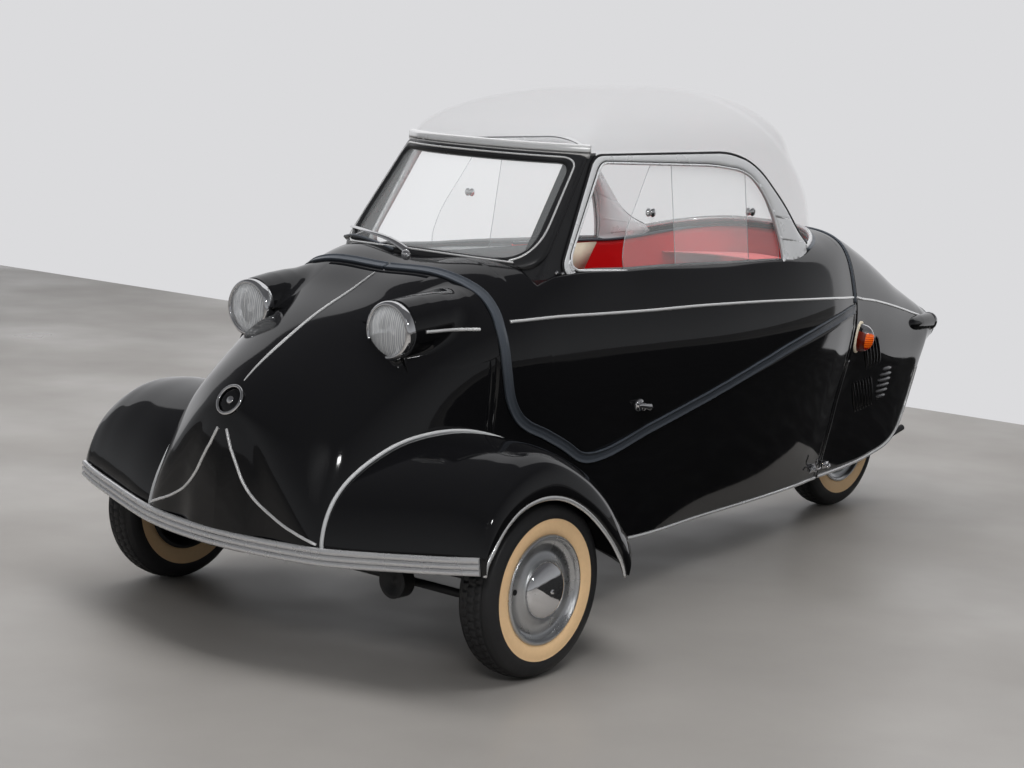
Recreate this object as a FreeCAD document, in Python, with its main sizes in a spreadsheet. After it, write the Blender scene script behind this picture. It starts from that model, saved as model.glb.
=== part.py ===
import FreeCAD, Part
import Sketcher
import os

# Three-wheeled bubble car: tandem cabin under a clear dome, two steered wheels in front, one driven behind.
# Frame: +X forward, +Y to the car's left, +Z up, origin on the ground below the middle of the length.
# Millimetres.

doc = FreeCAD.newDocument("BubbleCar")
V = FreeCAD.Vector

# Driving dimensions: alias, value, meaning
SIZES = [
    ("front_overhang", 390, "foremost point ahead of the front axle"),
    ("wheelbase", 2030, "front axle to rear axle"),
    ("rear_overhang", 400, "rearmost point of the tail behind the rear axle"),
    ("front_axle_x", 1020, "front axle ahead of the middle of the length"),
    ("cowl_behind", 82, "seam between nose and tub, behind the front axle"),
    ("seam_ahead", 360, "seam between tub and tail cover, ahead of the rear axle"),
    ("track", 1080, "between the middles of the front tyres"),
    ("tyre_radius", 190, "outside of the tread"),
    ("tyre_width", 98, "across the side walls"),
    ("rim_radius", 104, "bead seat of the rim"),
    ("cap_radius", 61, "polished cap in the middle of a front wheel"),
    ("hub_radius", 30, "wheel hub barrel"),
    ("spindle_radius", 12, "stub axle"),
    ("running_fit", 0.05, "radial clearance of a shaft in its bore"),
    ("side_gap", 1, "end clearance at pins and hubs"),
    ("kingpin_inset", 85, "from the middle of the tyre in to the kingpin"),
    ("kingpin_radius", 11, "kingpin"),
    ("knuckle_height", 84, "sleeve on the kingpin"),
    ("knuckle_radius", 21, "sleeve on the kingpin"),
    ("fender_cover", 67, "outer face of a fender beyond the middle of its tyre"),
    ("arch_gap", 24, "wheel arch beyond the tread"),
    ("belt_half", 358, "widest half width of the body at the belt"),
    ("floor_height", 150, "underside of the tub"),
    ("skirt_height", 231, "lower edge of the nose and fenders"),
    ("sill_height", 765, "foot of the side windows"),
    ("header_height", 1055, "top of the windscreen"),
    ("dome_rise", 145, "top of the dome above the windscreen"),
    ("hull_wall", 14, "double skinned wall of the tub and canopy"),
    ("sheet_wall", 7, "folded sheet of nose, fenders and tail"),
    ("glass_wall", 5, "clear panes and dome"),
    ("frame_wall", 9, "window frames, inside face to outside face"),
    ("panel_gap", 6, "gap round the canopy and the tail cover"),
    ("lamp_inset", 211, "headlamp centre from the middle of the car"),
    ("lamp_height", 689, "headlamp centre"),
    ("lamp_ahead", 97, "headlamp seat ahead of the front axle"),
    ("lamp_radius", 63, "headlamp bezel"),
    ("strip_height", 38, "bumper strip"),
    ("strip_depth", 9, "bumper strip"),
    ("seat_half", 215, "half width of a seat"),
    ("louvre_width", 5, "slot of a cooling louvre"),
]

sheet = doc.addObject("Spreadsheet::Sheet", "Sizes")
for row, (alias, value, meaning) in enumerate(SIZES, start=1):
    sheet.set("A%d" % row, meaning)
    sheet.set("B%d" % row, str(value))
    sheet.setAlias("B%d" % row, alias)
doc.recompute()


def formula_of(value):
    return value.formula if isinstance(value, Dim) else "(%.9g)" % value


class Dim(float):
    # a number that also carries the formula, in names of the sheet, that it comes from
    def __new__(cls, value, formula):
        made = super().__new__(cls, value)
        made.formula = formula
        return made

    def joined(self, sign, other, value):
        return Dim(value, "(%s %s %s)" % (self.formula, sign, formula_of(other)))

    def joined_to(self, sign, other, value):
        return Dim(value, "(%s %s %s)" % (formula_of(other), sign, self.formula))

    def __add__(self, other):
        return self.joined("+", other, float(self) + float(other))

    def __radd__(self, other):
        return self.joined_to("+", other, float(other) + float(self))

    def __sub__(self, other):
        return self.joined("-", other, float(self) - float(other))

    def __rsub__(self, other):
        return self.joined_to("-", other, float(other) - float(self))

    def __mul__(self, other):
        return self.joined("*", other, float(self) * float(other))

    def __rmul__(self, other):
        return self.joined_to("*", other, float(other) * float(self))

    def __truediv__(self, other):
        return self.joined("/", other, float(self) / float(other))

    def __neg__(self):
        return Dim(-float(self), "(0 - %s)" % self.formula)


def size(alias):
    return Dim(sheet.get(alias), "Sizes." + alias)


front_axle_x = size("front_axle_x")
nose_x = front_axle_x + size("front_overhang")
rear_axle_x = front_axle_x - size("wheelbase")
tail_x = rear_axle_x - size("rear_overhang")
cowl_x = front_axle_x - size("cowl_behind")
seam_x = rear_axle_x + size("seam_ahead")
wheel_y = size("track") / 2
tyre_radius = size("tyre_radius")
axle_z = tyre_radius
floor_z, skirt_z = size("floor_height"), size("skirt_height")
belt_half = size("belt_half")
fender_half = wheel_y + size("fender_cover")
hull_wall, sheet_wall = size("hull_wall"), size("sheet_wall")
gap = size("panel_gap")
header_z, sill_z = size("header_height"), size("sill_height")
lamp_y, lamp_z = size("lamp_inset"), size("lamp_height")
lamp_x = front_axle_x + size("lamp_ahead")
kingpin_y = wheel_y - size("kingpin_inset")
fit = size("running_fit")

# Where the drawing has its ends, axles and seams, and where the sheet puts them
DRAWN_X = [(-1410, tail_x), (-1010, rear_axle_x), (-650, seam_x),
           (938, cowl_x), (1020, front_axle_x), (1410, nose_x)]
DRAWN_BELT = 358


def along(x):
    # a drawn x, carried along with the end, axle or seam on each side of it
    for (drawn_a, real_a), (drawn_b, real_b) in zip(DRAWN_X, DRAWN_X[1:]):
        if x <= drawn_b:
            break
    return real_a + (real_b - real_a) * ((x - drawn_a) / (drawn_b - drawn_a))


def wide(y):
    # a drawn y, wider or narrower with the body's belt
    return belt_half * (y / DRAWN_BELT)


# Objects of the document, with their sizes bound to the sheet

parts = []


def keep(feature, label):
    feature.Label = label
    parts.append(feature)
    return feature


def held(shape, name="Form"):
    feature = doc.addObject("Part::Feature", name)
    feature.Shape = shape
    return feature


def bound(feature, **sizes):
    for name, value in sizes.items():
        setattr(feature, name, float(value))
        if isinstance(value, Dim):
            feature.setExpression(name, value.formula)
    return feature


def placed(feature, base, rotation=FreeCAD.Rotation()):
    feature.Placement = FreeCAD.Placement(V(*base), rotation)
    for letter, value in zip("xyz", base):
        if isinstance(value, Dim):
            feature.setExpression("Placement.Base." + letter, value.formula)
    return feature


def block(x0, x1, y0, y1, z0, z1):
    feature = bound(doc.addObject("Part::Box", "Block"), Length=x1 - x0, Width=y1 - y0, Height=z1 - z0)
    return placed(feature, (x0, y0, z0))


def rod(start, end, radius):
    # a round bar; along an axis its length follows the sheet
    run = V(*end) - V(*start)
    moving = [k for k in range(3) if abs(run[k]) > 0.001]
    length = run.Length
    if len(moving) == 1:
        only = moving[0]
        length = end[only] - start[only] if run[only] > 0 else start[only] - end[only]
    feature = bound(doc.addObject("Part::Cylinder", "Rod"), Radius=radius, Height=length)
    return placed(feature, start, FreeCAD.Rotation(V(0, 0, 1), run))


def ball(centre, radius):
    return placed(bound(doc.addObject("Part::Sphere", "Ball"), Radius=radius), centre)


def egg(centre, reach_x, reach_y, reach_z):
    feature = doc.addObject("Part::Ellipsoid", "Egg")
    return placed(bound(feature, Radius2=reach_x, Radius3=reach_y, Radius1=reach_z), centre)


def fused(*pieces):
    feature = doc.addObject("Part::MultiFuse", "Joined")
    feature.Shapes = list(pieces)
    return feature


def cut(base, tool):
    feature = doc.addObject("Part::Cut", "Trimmed")
    feature.Base, feature.Tool = base, tool
    return feature


def mirrored(source):
    feature = doc.addObject("Part::Mirroring", "OtherSide")
    feature.Source = source
    feature.Base, feature.Normal = V(0, 0, 0), V(0, 1, 0)
    return feature


def together(*pieces):
    feature = doc.addObject("Part::Compound", "Pair")
    feature.Links = list(pieces)
    return feature


def outline(body, plane, corners):
    # closed sketch on one of the body's own planes: a corner is (across, up), and a third value is the radius
    # of the arc that arrives there, bulging to the right of its way, or to the left where it is negative
    sketch = body.newObject("Sketcher::SketchObject", "Outline")
    sketch.AttachmentSupport = [(next(item for item in body.Origin.OriginFeatures if item.Role == plane), "")]
    sketch.MapMode = "FlatFace"
    ends = []
    for before, corner in zip([corners[-1]] + corners[:-1], corners):
        start, end = V(before[0], before[1], 0), V(corner[0], corner[1], 0)
        if len(corner) > 2:
            half = (end - start) * 0.5
            radius = abs(corner[2])
            rise = radius - (radius ** 2 - half.Length ** 2) ** 0.5
            side = V(half.y, -half.x, 0).normalize() * (rise if corner[2] > 0 else -rise)
            edge = sketch.addGeometry(Part.Arc(start, start + half + side, end))
            sketch.addConstraint(Sketcher.Constraint("Radius", edge, float(radius)))
            if isinstance(corner[2], Dim):
                sketch.setExpression("Constraints[%d]" % (sketch.ConstraintCount - 1), corner[2].formula)
        else:
            edge = sketch.addGeometry(Part.LineSegment(start, end))
        first_is_end = (sketch.getPoint(edge, 1) - end).Length < (sketch.getPoint(edge, 2) - end).Length
        ends.append((edge, 2, 1) if first_is_end else (edge, 1, 2))
    for (edge, entry, leave), corner, following in zip(ends, corners, ends[1:] + ends[:1]):
        sketch.addConstraint(Sketcher.Constraint("Coincident", edge, leave, following[0], following[1]))
        for kind, value in (("DistanceX", corner[0]), ("DistanceY", corner[1])):
            sketch.addConstraint(Sketcher.Constraint(kind, -1, 1, edge, leave, float(value)))
            if isinstance(value, Dim):
                sketch.setExpression("Constraints[%d]" % (sketch.ConstraintCount - 1), value.formula)
    return sketch


def turned(corners, about, base, rotation=FreeCAD.Rotation()):
    # body of revolution: corners in the XY plane, turned about that plane's H_Axis or V_Axis
    body = doc.addObject("PartDesign::Body", "Turned")
    sketch = outline(body, "XY_Plane", corners)
    revolution = body.newObject("PartDesign::Revolution", "Revolution")
    revolution.Profile = sketch
    revolution.ReferenceAxis = (sketch, [about])
    revolution.Angle = 360
    sketch.Visibility = False
    return placed(body, base, rotation)


def slab(corners, half, rounding=0):
    # side view (x, z) padded to both sides of the middle, all its edges rounded where a rounding is given
    body = doc.addObject("PartDesign::Body", "Slab")
    pad = body.newObject("PartDesign::Pad", "Pad")
    pad.Profile = outline(body, "XZ_Plane", corners)
    pad.SideType = "Symmetric"
    bound(pad, Length=half * 2)
    if rounding:
        doc.recompute()
        fillet = body.newObject("PartDesign::Fillet", "Rounding")
        fillet.Base = (pad, ["Edge1"])
        fillet.UseAllEdges = True
        fillet.Radius = rounding
    return body


# Plain shapes for the body panels

def box_shape(x0, x1, y0, y1, z0, z1):
    return Part.makeBox(x1 - x0, y1 - y0, z1 - z0, V(x0, y0, z0))


def bar_shape(start, end, radius):
    start, end = V(*start), V(*end)
    return Part.makeCylinder(radius, (end - start).Length, start, end - start)


def prism_y(points, y0, y1):
    wire = Part.makePolygon([V(x, y0, z) for x, z in points] + [V(points[0][0], y0, points[0][1])])
    return Part.Face(wire).extrude(V(0, y1 - y0, 0))


def prism_x(points, x0, x1):
    wire = Part.makePolygon([V(x0, y, z) for y, z in points] + [V(x0, points[0][0], points[0][1])])
    return Part.Face(wire).extrude(V(x1 - x0, 0, 0))


def mirror_shape(shape):
    return shape.mirror(V(0, 0, 0), V(0, 1, 0))


def arc(a, b, c):
    return Part.Arc(V(*a), V(*b), V(*c)).toShape()


def line(a, b):
    return Part.LineSegment(V(*a), V(*b)).toShape()


def bulged(x, a, b, sag):
    # arc in the plane X = x from a to b, bulging away from the hull's middle by sag times the chord
    dy, dz = b[0] - a[0], b[1] - a[1]
    mid = ((a[0] + b[0]) / 2 - dz * sag, (a[1] + b[1]) / 2 + dy * sag)
    return arc((x, a[0], a[1]), (x, mid[0], mid[1]), (x, b[0], b[1]))


# Body sections as drawn: x, crown z, shoulder y z, belt y z, waist y z, floor y, floor z, open below
floor_trim = 1  # the cabin's sections reach this far below the flat underside
low_z = floor_z - floor_trim
HULL = [
    (1405, 330, 14, 322, 24, 305, 29, 268, 30, skirt_z, 1),
    (1385, 497, 45, 482, 95, 405, 122, 300, 128, skirt_z, 1),
    (1354, 552, 80, 530, 180, 425, 248, 300, 262, skirt_z, 1),
    (1300, 597, 100, 575, 215, 475, 272, 330, 280, skirt_z, 1),
    (1220, 648, 120, 626, 235, 535, 285, 390, 292, skirt_z, 1),
    (1131, 697, 140, 676, 252, 590, 296, 430, 300, skirt_z, 1),
    (1020, 745, 190, 724, 285, 655, 316, 470, 302, 190, 1),
    (938, 782, 228, 763, 315, 690, 334, 480, 270, low_z, 1),
    (845, 812, 262, 785, 336, 695, 342, 440, 285, low_z, 0),
    (700, 825, 300, 788, 347, 698, 348, 400, 303, low_z, 0),
    (400, 835, 318, 776, 356, 700, 348, 370, 306, low_z, 0),
    (0, 840, 320, 768, 358, 698, 335, 360, 262, low_z, 0),
    (-300, 838, 305, 770, 340, 685, 302, 355, 232, low_z, 0),
    (-500, 835, 268, 776, 304, 673, 262, 350, 205, low_z, 0),
    (-650, 829, 214, 790, 264, 657, 222, 347, 180, low_z + 2, 1),
    (-800, 793, 180, 752, 234, 615, 202, 345, 166, low_z + 6, 1),
    (-950, 740, 150, 700, 207, 567, 184, 350, 158, low_z + 23, 1),
    (-1100, 677, 125, 640, 180, 525, 162, 370, 146, low_z + 59, 1),
    (-1220, 626, 108, 597, 158, 510, 142, 400, 118, 300, 1),
    (-1280, 601, 98, 577, 142, 515, 130, 470, 104, 442, 0),
    (-1350, 572, 84, 553, 118, 515, 108, 492, 80, 478, 0),
    (-1410, 548, 50, 537, 72, 518, 66, 508, 50, 500, 0),
]
SAG_SHOULDER, SAG_SIDE, SAG_BILGE = 0.14, 0.03, 0.06


def hull_wire(station, wall, shift, drop):
    drawn_x, top, sy, sz, by, bz, wy, wz, fy, fz, is_open = station
    x = along(drawn_x) + shift
    sy, by, wy, fy = wide(sy), wide(by), wide(wy), wide(fy)
    top -= wall
    shoulder = (sy - wall, sz - wall * 0.8)
    belt = (by - wall, bz - wall * 0.3)
    waist = (wy - wall, wz)
    lean = (wy - fy) / (wz - fz)
    base = (fy - wall - drop * lean, fz - drop) if is_open and drop else (fy - wall, fz + wall)
    edges = [
        arc((x, -shoulder[0], shoulder[1]), (x, 0, top), (x, shoulder[0], shoulder[1])),
        bulged(x, shoulder, belt, SAG_SHOULDER),
        bulged(x, belt, waist, SAG_SIDE),
        bulged(x, waist, base, SAG_BILGE),
        line((x, base[0], base[1]), (x, -base[0], base[1])),
    ]
    lower_sides = [(waist, base, SAG_BILGE), (belt, waist, SAG_SIDE), (shoulder, belt, SAG_SHOULDER)]
    for upper, lower, sag in lower_sides:
        edges.append(mirror_shape(bulged(x, upper, lower, sag)))
    return Part.Wire(Part.__sortEdges__(edges))


def hull_solid(front, rear, wall=0, shift=0, drop=0, extend_front=0, extend_rear=0):
    # ruled between the sections from the drawn x in front to the one behind
    stations = [station for station in HULL if rear <= station[0] <= front]
    wires = [hull_wire(station, wall, shift, drop) for station in stations]
    if extend_front:
        wires.insert(0, hull_wire(stations[0], wall, shift + extend_front, drop))
    if extend_rear:
        wires.append(hull_wire(stations[-1], wall, shift - extend_rear, drop))
    return Part.makeLoft(wires, True, True)


nose_outer = hull_solid(1410, 938)
nose_inner = hull_solid(1410, 938, sheet_wall, -sheet_wall, 30, extend_rear=30)
below_floor = box_shape(seam_x - 100, cowl_x + 100, -600, 600, 0, floor_z)
tub_outer = hull_solid(938, -650).cut(below_floor)
tub_inner = hull_solid(938, -650, hull_wall)
cabin_space = tub_inner.common(box_shape(seam_x + hull_wall, cowl_x - hull_wall, -600, 600, 0, 1000))
tail_outer = hull_solid(-650, -1410)
tail_inner = hull_solid(-650, -1410, sheet_wall, sheet_wall, 30, extend_front=30)

# Canopy opening in the side view: V-shaped on the left where people step in, straight on the right
canopy_front_x = cowl_x - hull_wall - gap
canopy_rear_x = seam_x + hull_wall + gap
V_LEFT = [(canopy_front_x, 690), (along(850), 497), (along(586), 374), (canopy_rear_x, 640)]
BELT_RIGHT = [(canopy_front_x, 700), (canopy_rear_x, 655)]


def above(seam, grow):
    front, rear = seam[0][0] + grow, seam[-1][0] - grow
    lower = [(x, z - grow) for x, z in seam]
    lower[0], lower[-1] = (front, lower[0][1]), (rear, lower[-1][1])
    over = header_z + size("dome_rise") * 2
    return lower + [(rear, over), (front, over)]


def canopy_region(grow):
    left = prism_y(above(V_LEFT, grow), 0, belt_half + 142)
    right = prism_y(above(BELT_RIGHT, grow), -belt_half - 142, 0)
    return left.fuse(right)


# Glasshouse outlines in plan, one per level: z, front centre x, corner x y, side end x y, rear centre x
dome_rise = size("dome_rise")
roof_z = header_z + dome_rise
GLASS = [
    (sill_z - 65, 915, 818, 305, -215, 303, -606),
    (sill_z, 872, 766, 303, -215, 300, -603),
    (header_z, 632, 552, 266, -215, 262, -580),
    (header_z + 0.31 * dome_rise, 604, 500, 232, -215, 240, -545),
    (header_z + 0.62 * dome_rise, 500, 400, 170, -190, 196, -468),
    (header_z + 0.85 * dome_rise, 330, 240, 110, -150, 138, -360),
    (header_z + 0.966 * dome_rise, 160, 110, 55, -110, 72, -240),
    (roof_z, 60, 40, 20, -90, 26, -150),
]


def glass_wire(level, wall):
    z, front, corner_x, corner_y, side_x, side_y, rear = level
    front, corner_x = along(front) - wall, along(corner_x) - wall
    side_x, rear = along(side_x), along(rear) + wall
    corner_y, side_y = wide(corner_y) - wall, wide(side_y) - wall
    mid_x, mid_y = side_x + (rear - side_x) * 0.71, side_y * 0.71
    edges = [
        arc((corner_x, -corner_y, z), (front, 0, z), (corner_x, corner_y, z)),
        line((corner_x, corner_y, z), (side_x, side_y, z)),
        arc((side_x, side_y, z), (mid_x, mid_y, z), (rear, 0, z)),
        arc((rear, 0, z), (mid_x, -mid_y, z), (side_x, -side_y, z)),
        line((side_x, -side_y, z), (corner_x, -corner_y, z)),
    ]
    return Part.Wire(edges)


def glasshouse(wall, roof_wall):
    wires = []
    for level in GLASS:
        z = level[0]
        if z > header_z:
            z -= roof_wall
        wires.append(glass_wire((z,) + level[1:], wall))
    return Part.makeLoft(wires, True, True)


glass_outer = glasshouse(0, 0)
glass_inner = glasshouse(size("glass_wall"), size("glass_wall"))
frame_inner = glasshouse(size("frame_wall"), size("frame_wall"))
clear_skin = glass_outer.cut(glass_inner)
frame_skin = glass_outer.cut(frame_inner)

# Side window and windscreen borders in the side view (x, z)
seat_gap = 0.3  # between the dome and what it sits on
foot_z = sill_z + 50
SIDE_BORDER = [(along(742), sill_z + 31), (along(549), header_z - 3), (along(-60), header_z - 12),
               (along(-180), header_z - 55), (along(-290), header_z - 130), (along(-400), foot_z),
               (along(-400), sill_z), (along(160), sill_z), (along(560), sill_z + 15)]
SIDE_OPENING = [(along(655), sill_z + 47), (along(530), header_z - 17), (along(-52), header_z - 33),
                (along(-145), header_z - 90), (along(-212), sill_z + 75), (along(-222), sill_z + 25),
                (along(145), sill_z + 18), (along(560), sill_z + 32)]
screen_foot, screen_head = (along(746), sill_z + 31), (along(553), header_z + 1)

canopy_skin = tub_outer.cut(tub_inner).common(canopy_region(0))
opening_plan = glasshouse(-seat_gap, 0).common(
    box_shape(along(-700), along(1000), -belt_half, belt_half, sill_z - 75, roof_z + 200))
canopy_panel = canopy_skin.cut(opening_plan)
tub_panel = tub_outer.cut(cabin_space).cut(canopy_region(gap))
side_prism = prism_y(SIDE_BORDER, 0, belt_half)
hole_prism = prism_y(SIDE_OPENING, 0, belt_half)
side_frame = frame_skin.common(side_prism).cut(hole_prism)
side_glass = clear_skin.common(hole_prism)
screen_zone = prism_y([screen_foot, screen_head, (along(700), header_z + 1), (along(1000), header_z + 1),
                       (along(1000), sill_z - 5), (screen_foot[0] + 10, sill_z - 5)], -belt_half, belt_half)
screen_hole = prism_x([(-wide(262), sill_z + 57), (wide(262), sill_z + 57), (wide(236), header_z - 23),
                       (-wide(236), header_z - 23)], along(400), along(1100))
screen_frame = frame_skin.common(screen_zone).cut(screen_hole)
screen_glass = clear_skin.common(screen_zone).common(screen_hole)
dome_foot = foot_z - 10
DOME_EDGE = [(along(549) + 0.6, header_z + 1 + seat_gap), (along(700), header_z + 1 + seat_gap),
             (along(700), roof_z + 200), (along(-800), roof_z + 200), (along(-800), dome_foot),
             (along(-400) - seat_gap, dome_foot), (along(-400) - seat_gap, foot_z + 0.2),
             (along(-290) - seat_gap, header_z - 129.7), (along(-180) - seat_gap, header_z - 54.6),
             (along(-60), header_z - 11.6), (along(549) + 0.4, header_z - 2.6)]
dome = clear_skin.common(prism_y(DOME_EDGE, -belt_half, belt_half))
rim_top = dome_foot - seat_gap
rear_rim = frame_skin.common(prism_y([(along(-400), sill_z), (along(-400), rim_top), (along(-800), rim_top),
                                      (along(-800), sill_z)], -belt_half, belt_half))

# Front fenders: side-view profiles, from the body outwards: share of the way out, front x, crest above the
# axle, rear x, rear z
fender_root = wide(245)
FENDER = [
    (0, 1352, 286, 565, 262),
    (0.235, 1333, 292, 585, 255),
    (0.511, 1300, 296, 630, 246),
    (0.76, 1266, 294, 680, 236),
    (0.912, 1245, 284, 718, 226),
    (0.975, 1236, 265, 748, 214),
    (1, 1232, 234, 762, 206),
]


def fender_wire(row, wall, inward, drop):
    share, front, crest, rear, rear_z = row
    y = fender_root + (fender_half - fender_root) * share - inward
    front, crest, rear = along(front) - wall, axle_z + crest - wall, along(rear) + wall
    low_front = (front, y, skirt_z - drop)
    high_front = (front, y, skirt_z + size("strip_height"))
    top = (front_axle_x + 20, y, crest)
    tail = (rear, y, rear_z)
    low_tail = (rear, y, axle_z - drop)
    edges = [
        line(low_front, high_front),
        arc(high_front, (front - 32, y, skirt_z + 0.63 * (crest - skirt_z)), top),
        arc(top, (0.5 * (top[0] + rear) - 38, y, rear_z + 0.73 * (crest - rear_z)), tail),
        line(tail, low_tail),
        line(low_tail, low_front),
    ]
    return Part.Wire(edges)


def fender_left_shell():
    outer = Part.makeLoft([fender_wire(row, 0, 0, 0) for row in FENDER], True, True)
    wires = []
    for row in FENDER:
        inward = 40 if row[0] == 0 else sheet_wall if row[0] > 0.7 else 0
        wires.append(fender_wire(row, sheet_wall, inward, 60))
    inner = Part.makeLoft(wires, True, True)
    arch_middle = V(front_axle_x + 16, fender_half - 107, axle_z - 12)
    arch = Part.makeCylinder(tyre_radius + size("arch_gap"), 200, arch_middle, V(0, 1, 0))
    shell = outer.cut(inner).cut(arch)
    shell = shell.cut(nose_outer).cut(tub_outer)
    return max(shell.Solids, key=lambda piece: piece.Volume)


fender_left = fender_left_shell()
fender_right = mirror_shape(fender_left)

# Bumper strip along the lower front edge, with two grooves between its three ribs
strip_h, strip_d = size("strip_height"), size("strip_depth")
groove, groove_depth = 3, 4
kink = (along(1354), wide(267))


def strip_edge(inset, z):
    reach = fender_half - kink[1]
    points = [(along(1236) - inset, fender_half - 2), (along(1264) - inset, kink[1] + reach * 0.788),
              (along(1304) - inset, kink[1] + reach * 0.497), (kink[0] - inset, kink[1])]
    left = [line((a[0], a[1], z), (b[0], b[1], z)) for a, b in zip(points, points[1:])]
    right = [line((a[0], -a[1], z), (b[0], -b[1], z)) for a, b in zip(points, points[1:])]
    middle = arc((kink[0] - inset, kink[1], z), (nose_x - inset, 0, z), (kink[0] - inset, -kink[1], z))
    return left + [middle] + right, points[0]


def strip_band(outer, inner, z, height):
    outer_edges, outer_end = strip_edge(outer, z)
    inner_edges, inner_end = strip_edge(inner, z)
    ends = [line((outer_end[0], k * outer_end[1], z), (inner_end[0], k * inner_end[1], z)) for k in (1, -1)]
    wire = Part.Wire(Part.__sortEdges__(outer_edges + inner_edges + ends))
    return Part.Face(wire).extrude(V(0, 0, height))


strip = strip_band(0, strip_d, skirt_z, strip_h)
for share in (1 / 3, 2 / 3):
    strip = strip.cut(strip_band(-1, groove_depth, skirt_z + strip_h * share - groove / 2, groove))
strip = strip.cut(nose_outer).cut(fender_left).cut(fender_right)


# Headlamp pods, faired back into the nose
pod_radius = size("lamp_radius") - 2
POD = [(lamp_x, lamp_y, lamp_z, pod_radius), (along(1050), lamp_y + 2, lamp_z + 8, pod_radius + 3),
       (cowl_x + 0.5, lamp_y + 14, lamp_z + 22, pod_radius - 1)]


def lamp_pod():
    rings = []
    for x, y, z, radius in POD:
        rings.append(Part.Wire(Part.Circle(V(x, y, z), V(1, 0, 0), radius).toShape()))
    pod = Part.makeLoft(rings, True, True).cut(nose_outer)
    return max(pod.Solids, key=lambda piece: piece.Volume)


axle_hole = bar_shape((front_axle_x, -400, axle_z), (front_axle_x, 400, axle_z), 26)
nose = nose_outer.cut(nose_inner).multiFuse([lamp_pod(), mirror_shape(lamp_pod())]).cut(axle_hole)
keep(held(nose, "Nose"), "nose")
keep(held(fender_left, "FenderLeft"), "fender_left")
keep(held(fender_right, "FenderRight"), "fender_right")
keep(held(strip, "BumperStrip"), "bumper_strip")
keep(held(screen_frame, "ScreenFrame"), "windscreen_frame")
keep(held(screen_glass, "Screen"), "windscreen")
keep(held(side_frame.multiFuse([mirror_shape(side_frame), rear_rim]), "WindowFrame"), "window_frame")
keep(held(side_glass, "WindowLeft"), "window_left")
keep(held(mirror_shape(side_glass), "WindowRight"), "window_right")
keep(held(dome, "Dome"), "dome")

# The body's forms, as tools that trim what sits on them
nose_form, tub_form, tail_form = held(nose_outer), held(tub_outer), held(tail_outer)
inside_form, glass_form = held(cabin_space), held(glass_outer)


def domed(radius, rise):
    # radius of the ball whose cap has this radius and rise
    return (radius * radius + rise * rise) / (2 * rise)


# Headlamps: a bezel with a bulging glass, (along, radius) turned about X
lamp_r = size("lamp_radius")
glass_r = lamp_r - 10
glass_rise = 8
LAMP = [(0, 0), (0, lamp_r), (8, lamp_r), (12, lamp_r - 4), (12, glass_r),
        (12 + glass_rise, 0, domed(glass_r, glass_rise))]
lamp = cut(turned(LAMP, "H_Axis", (lamp_x, lamp_y, lamp_z)), nose_form)
keep(together(lamp, mirrored(lamp)), "headlamps")

# Wheels: (radius, distance from the inner side of the tyre), turned about Y
tyre_w, rim_r, cap_r = size("tyre_width"), size("rim_radius"), size("cap_radius")
hub_r, spindle_r = size("hub_radius"), size("spindle_radius")
bore_r = spindle_r + fit
flange_r = rim_r + 9
edge, crown = 14, 4  # bead seat in from the side of the tyre, and the rise of the tread's middle
hub_start, hub_end = 20, 80
cap_start, cap_end = 88, 108
seat_fit = 0.3
tread_w = tyre_w - 2 * edge
wall_radius = (tyre_radius - rim_r) * 0.617
crown_radius = domed(tread_w / 2, crown)
TYRE = [(rim_r, edge), (flange_r + 1, edge), (tyre_radius - 15, 5, wall_radius), (tyre_radius - crown, edge),
        (tyre_radius - crown, tyre_w - edge, crown_radius), (tyre_radius - 15, tyre_w - 5),
        (flange_r + 1, tyre_w - edge, wall_radius), (rim_r, tyre_w - edge)]
RIM = [(bore_r, hub_start), (hub_r, hub_start), (hub_r, 66), (cap_r, 76), (cap_r + 22, 70), (rim_r - 5, 73),
       (rim_r - 5, edge - 5.3), (flange_r, edge - 5.3), (flange_r, edge - seat_fit),
       (rim_r - seat_fit, edge - seat_fit),
       (rim_r - seat_fit, tyre_w - edge + seat_fit), (flange_r, tyre_w - edge + seat_fit),
       (flange_r - 2, tyre_w - edge + 8), (rim_r - 1, tyre_w - edge + 3), (rim_r - 5, 81), (cap_r + 15, 78),
       (cap_r + 3, 83), (cap_r, cap_start)]
CAP = [(0, cap_end, domed(cap_r, cap_end - cap_start)), (0, hub_end), (bore_r, hub_end)]
OPEN_HUB = [(hub_r, 84), (bore_r, 84)]

half_w = tyre_w / 2
flipped = FreeCAD.Rotation(V(0, 0, 1), 180)
WHEELS = [("front_left", front_axle_x, wheel_y, 1), ("front_right", front_axle_x, -wheel_y, -1),
          ("rear", rear_axle_x, 0, 1)]
for name, x, y, side in WHEELS:
    base = (x, y - side * half_w, axle_z)
    turn = FreeCAD.Rotation() if side > 0 else flipped
    keep(turned(TYRE, "V_Axis", base, turn), "tyre_" + name)
    keep(turned(RIM + (OPEN_HUB if name == "rear" else CAP), "V_Axis", base, turn), "rim_" + name)

# Front suspension: cross tube on two legs from the tub, an ear above and below each knuckle, a kingpin
# through them
knuckle_h, knuckle_r = size("knuckle_height"), size("knuckle_radius")
kingpin_r = size("kingpin_radius")
ear_t, ear_half = 12, 17
ear_low = axle_z - knuckle_h / 2 - size("side_gap") - ear_t
ear_high = axle_z + knuckle_h / 2 + size("side_gap")
ear_top = ear_high + ear_t
ear_back, ear_front = front_axle_x - ear_half, front_axle_x + ear_half
tube_end = kingpin_y - 30


def on_pin(z):
    return (front_axle_x, kingpin_y, z)


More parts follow.
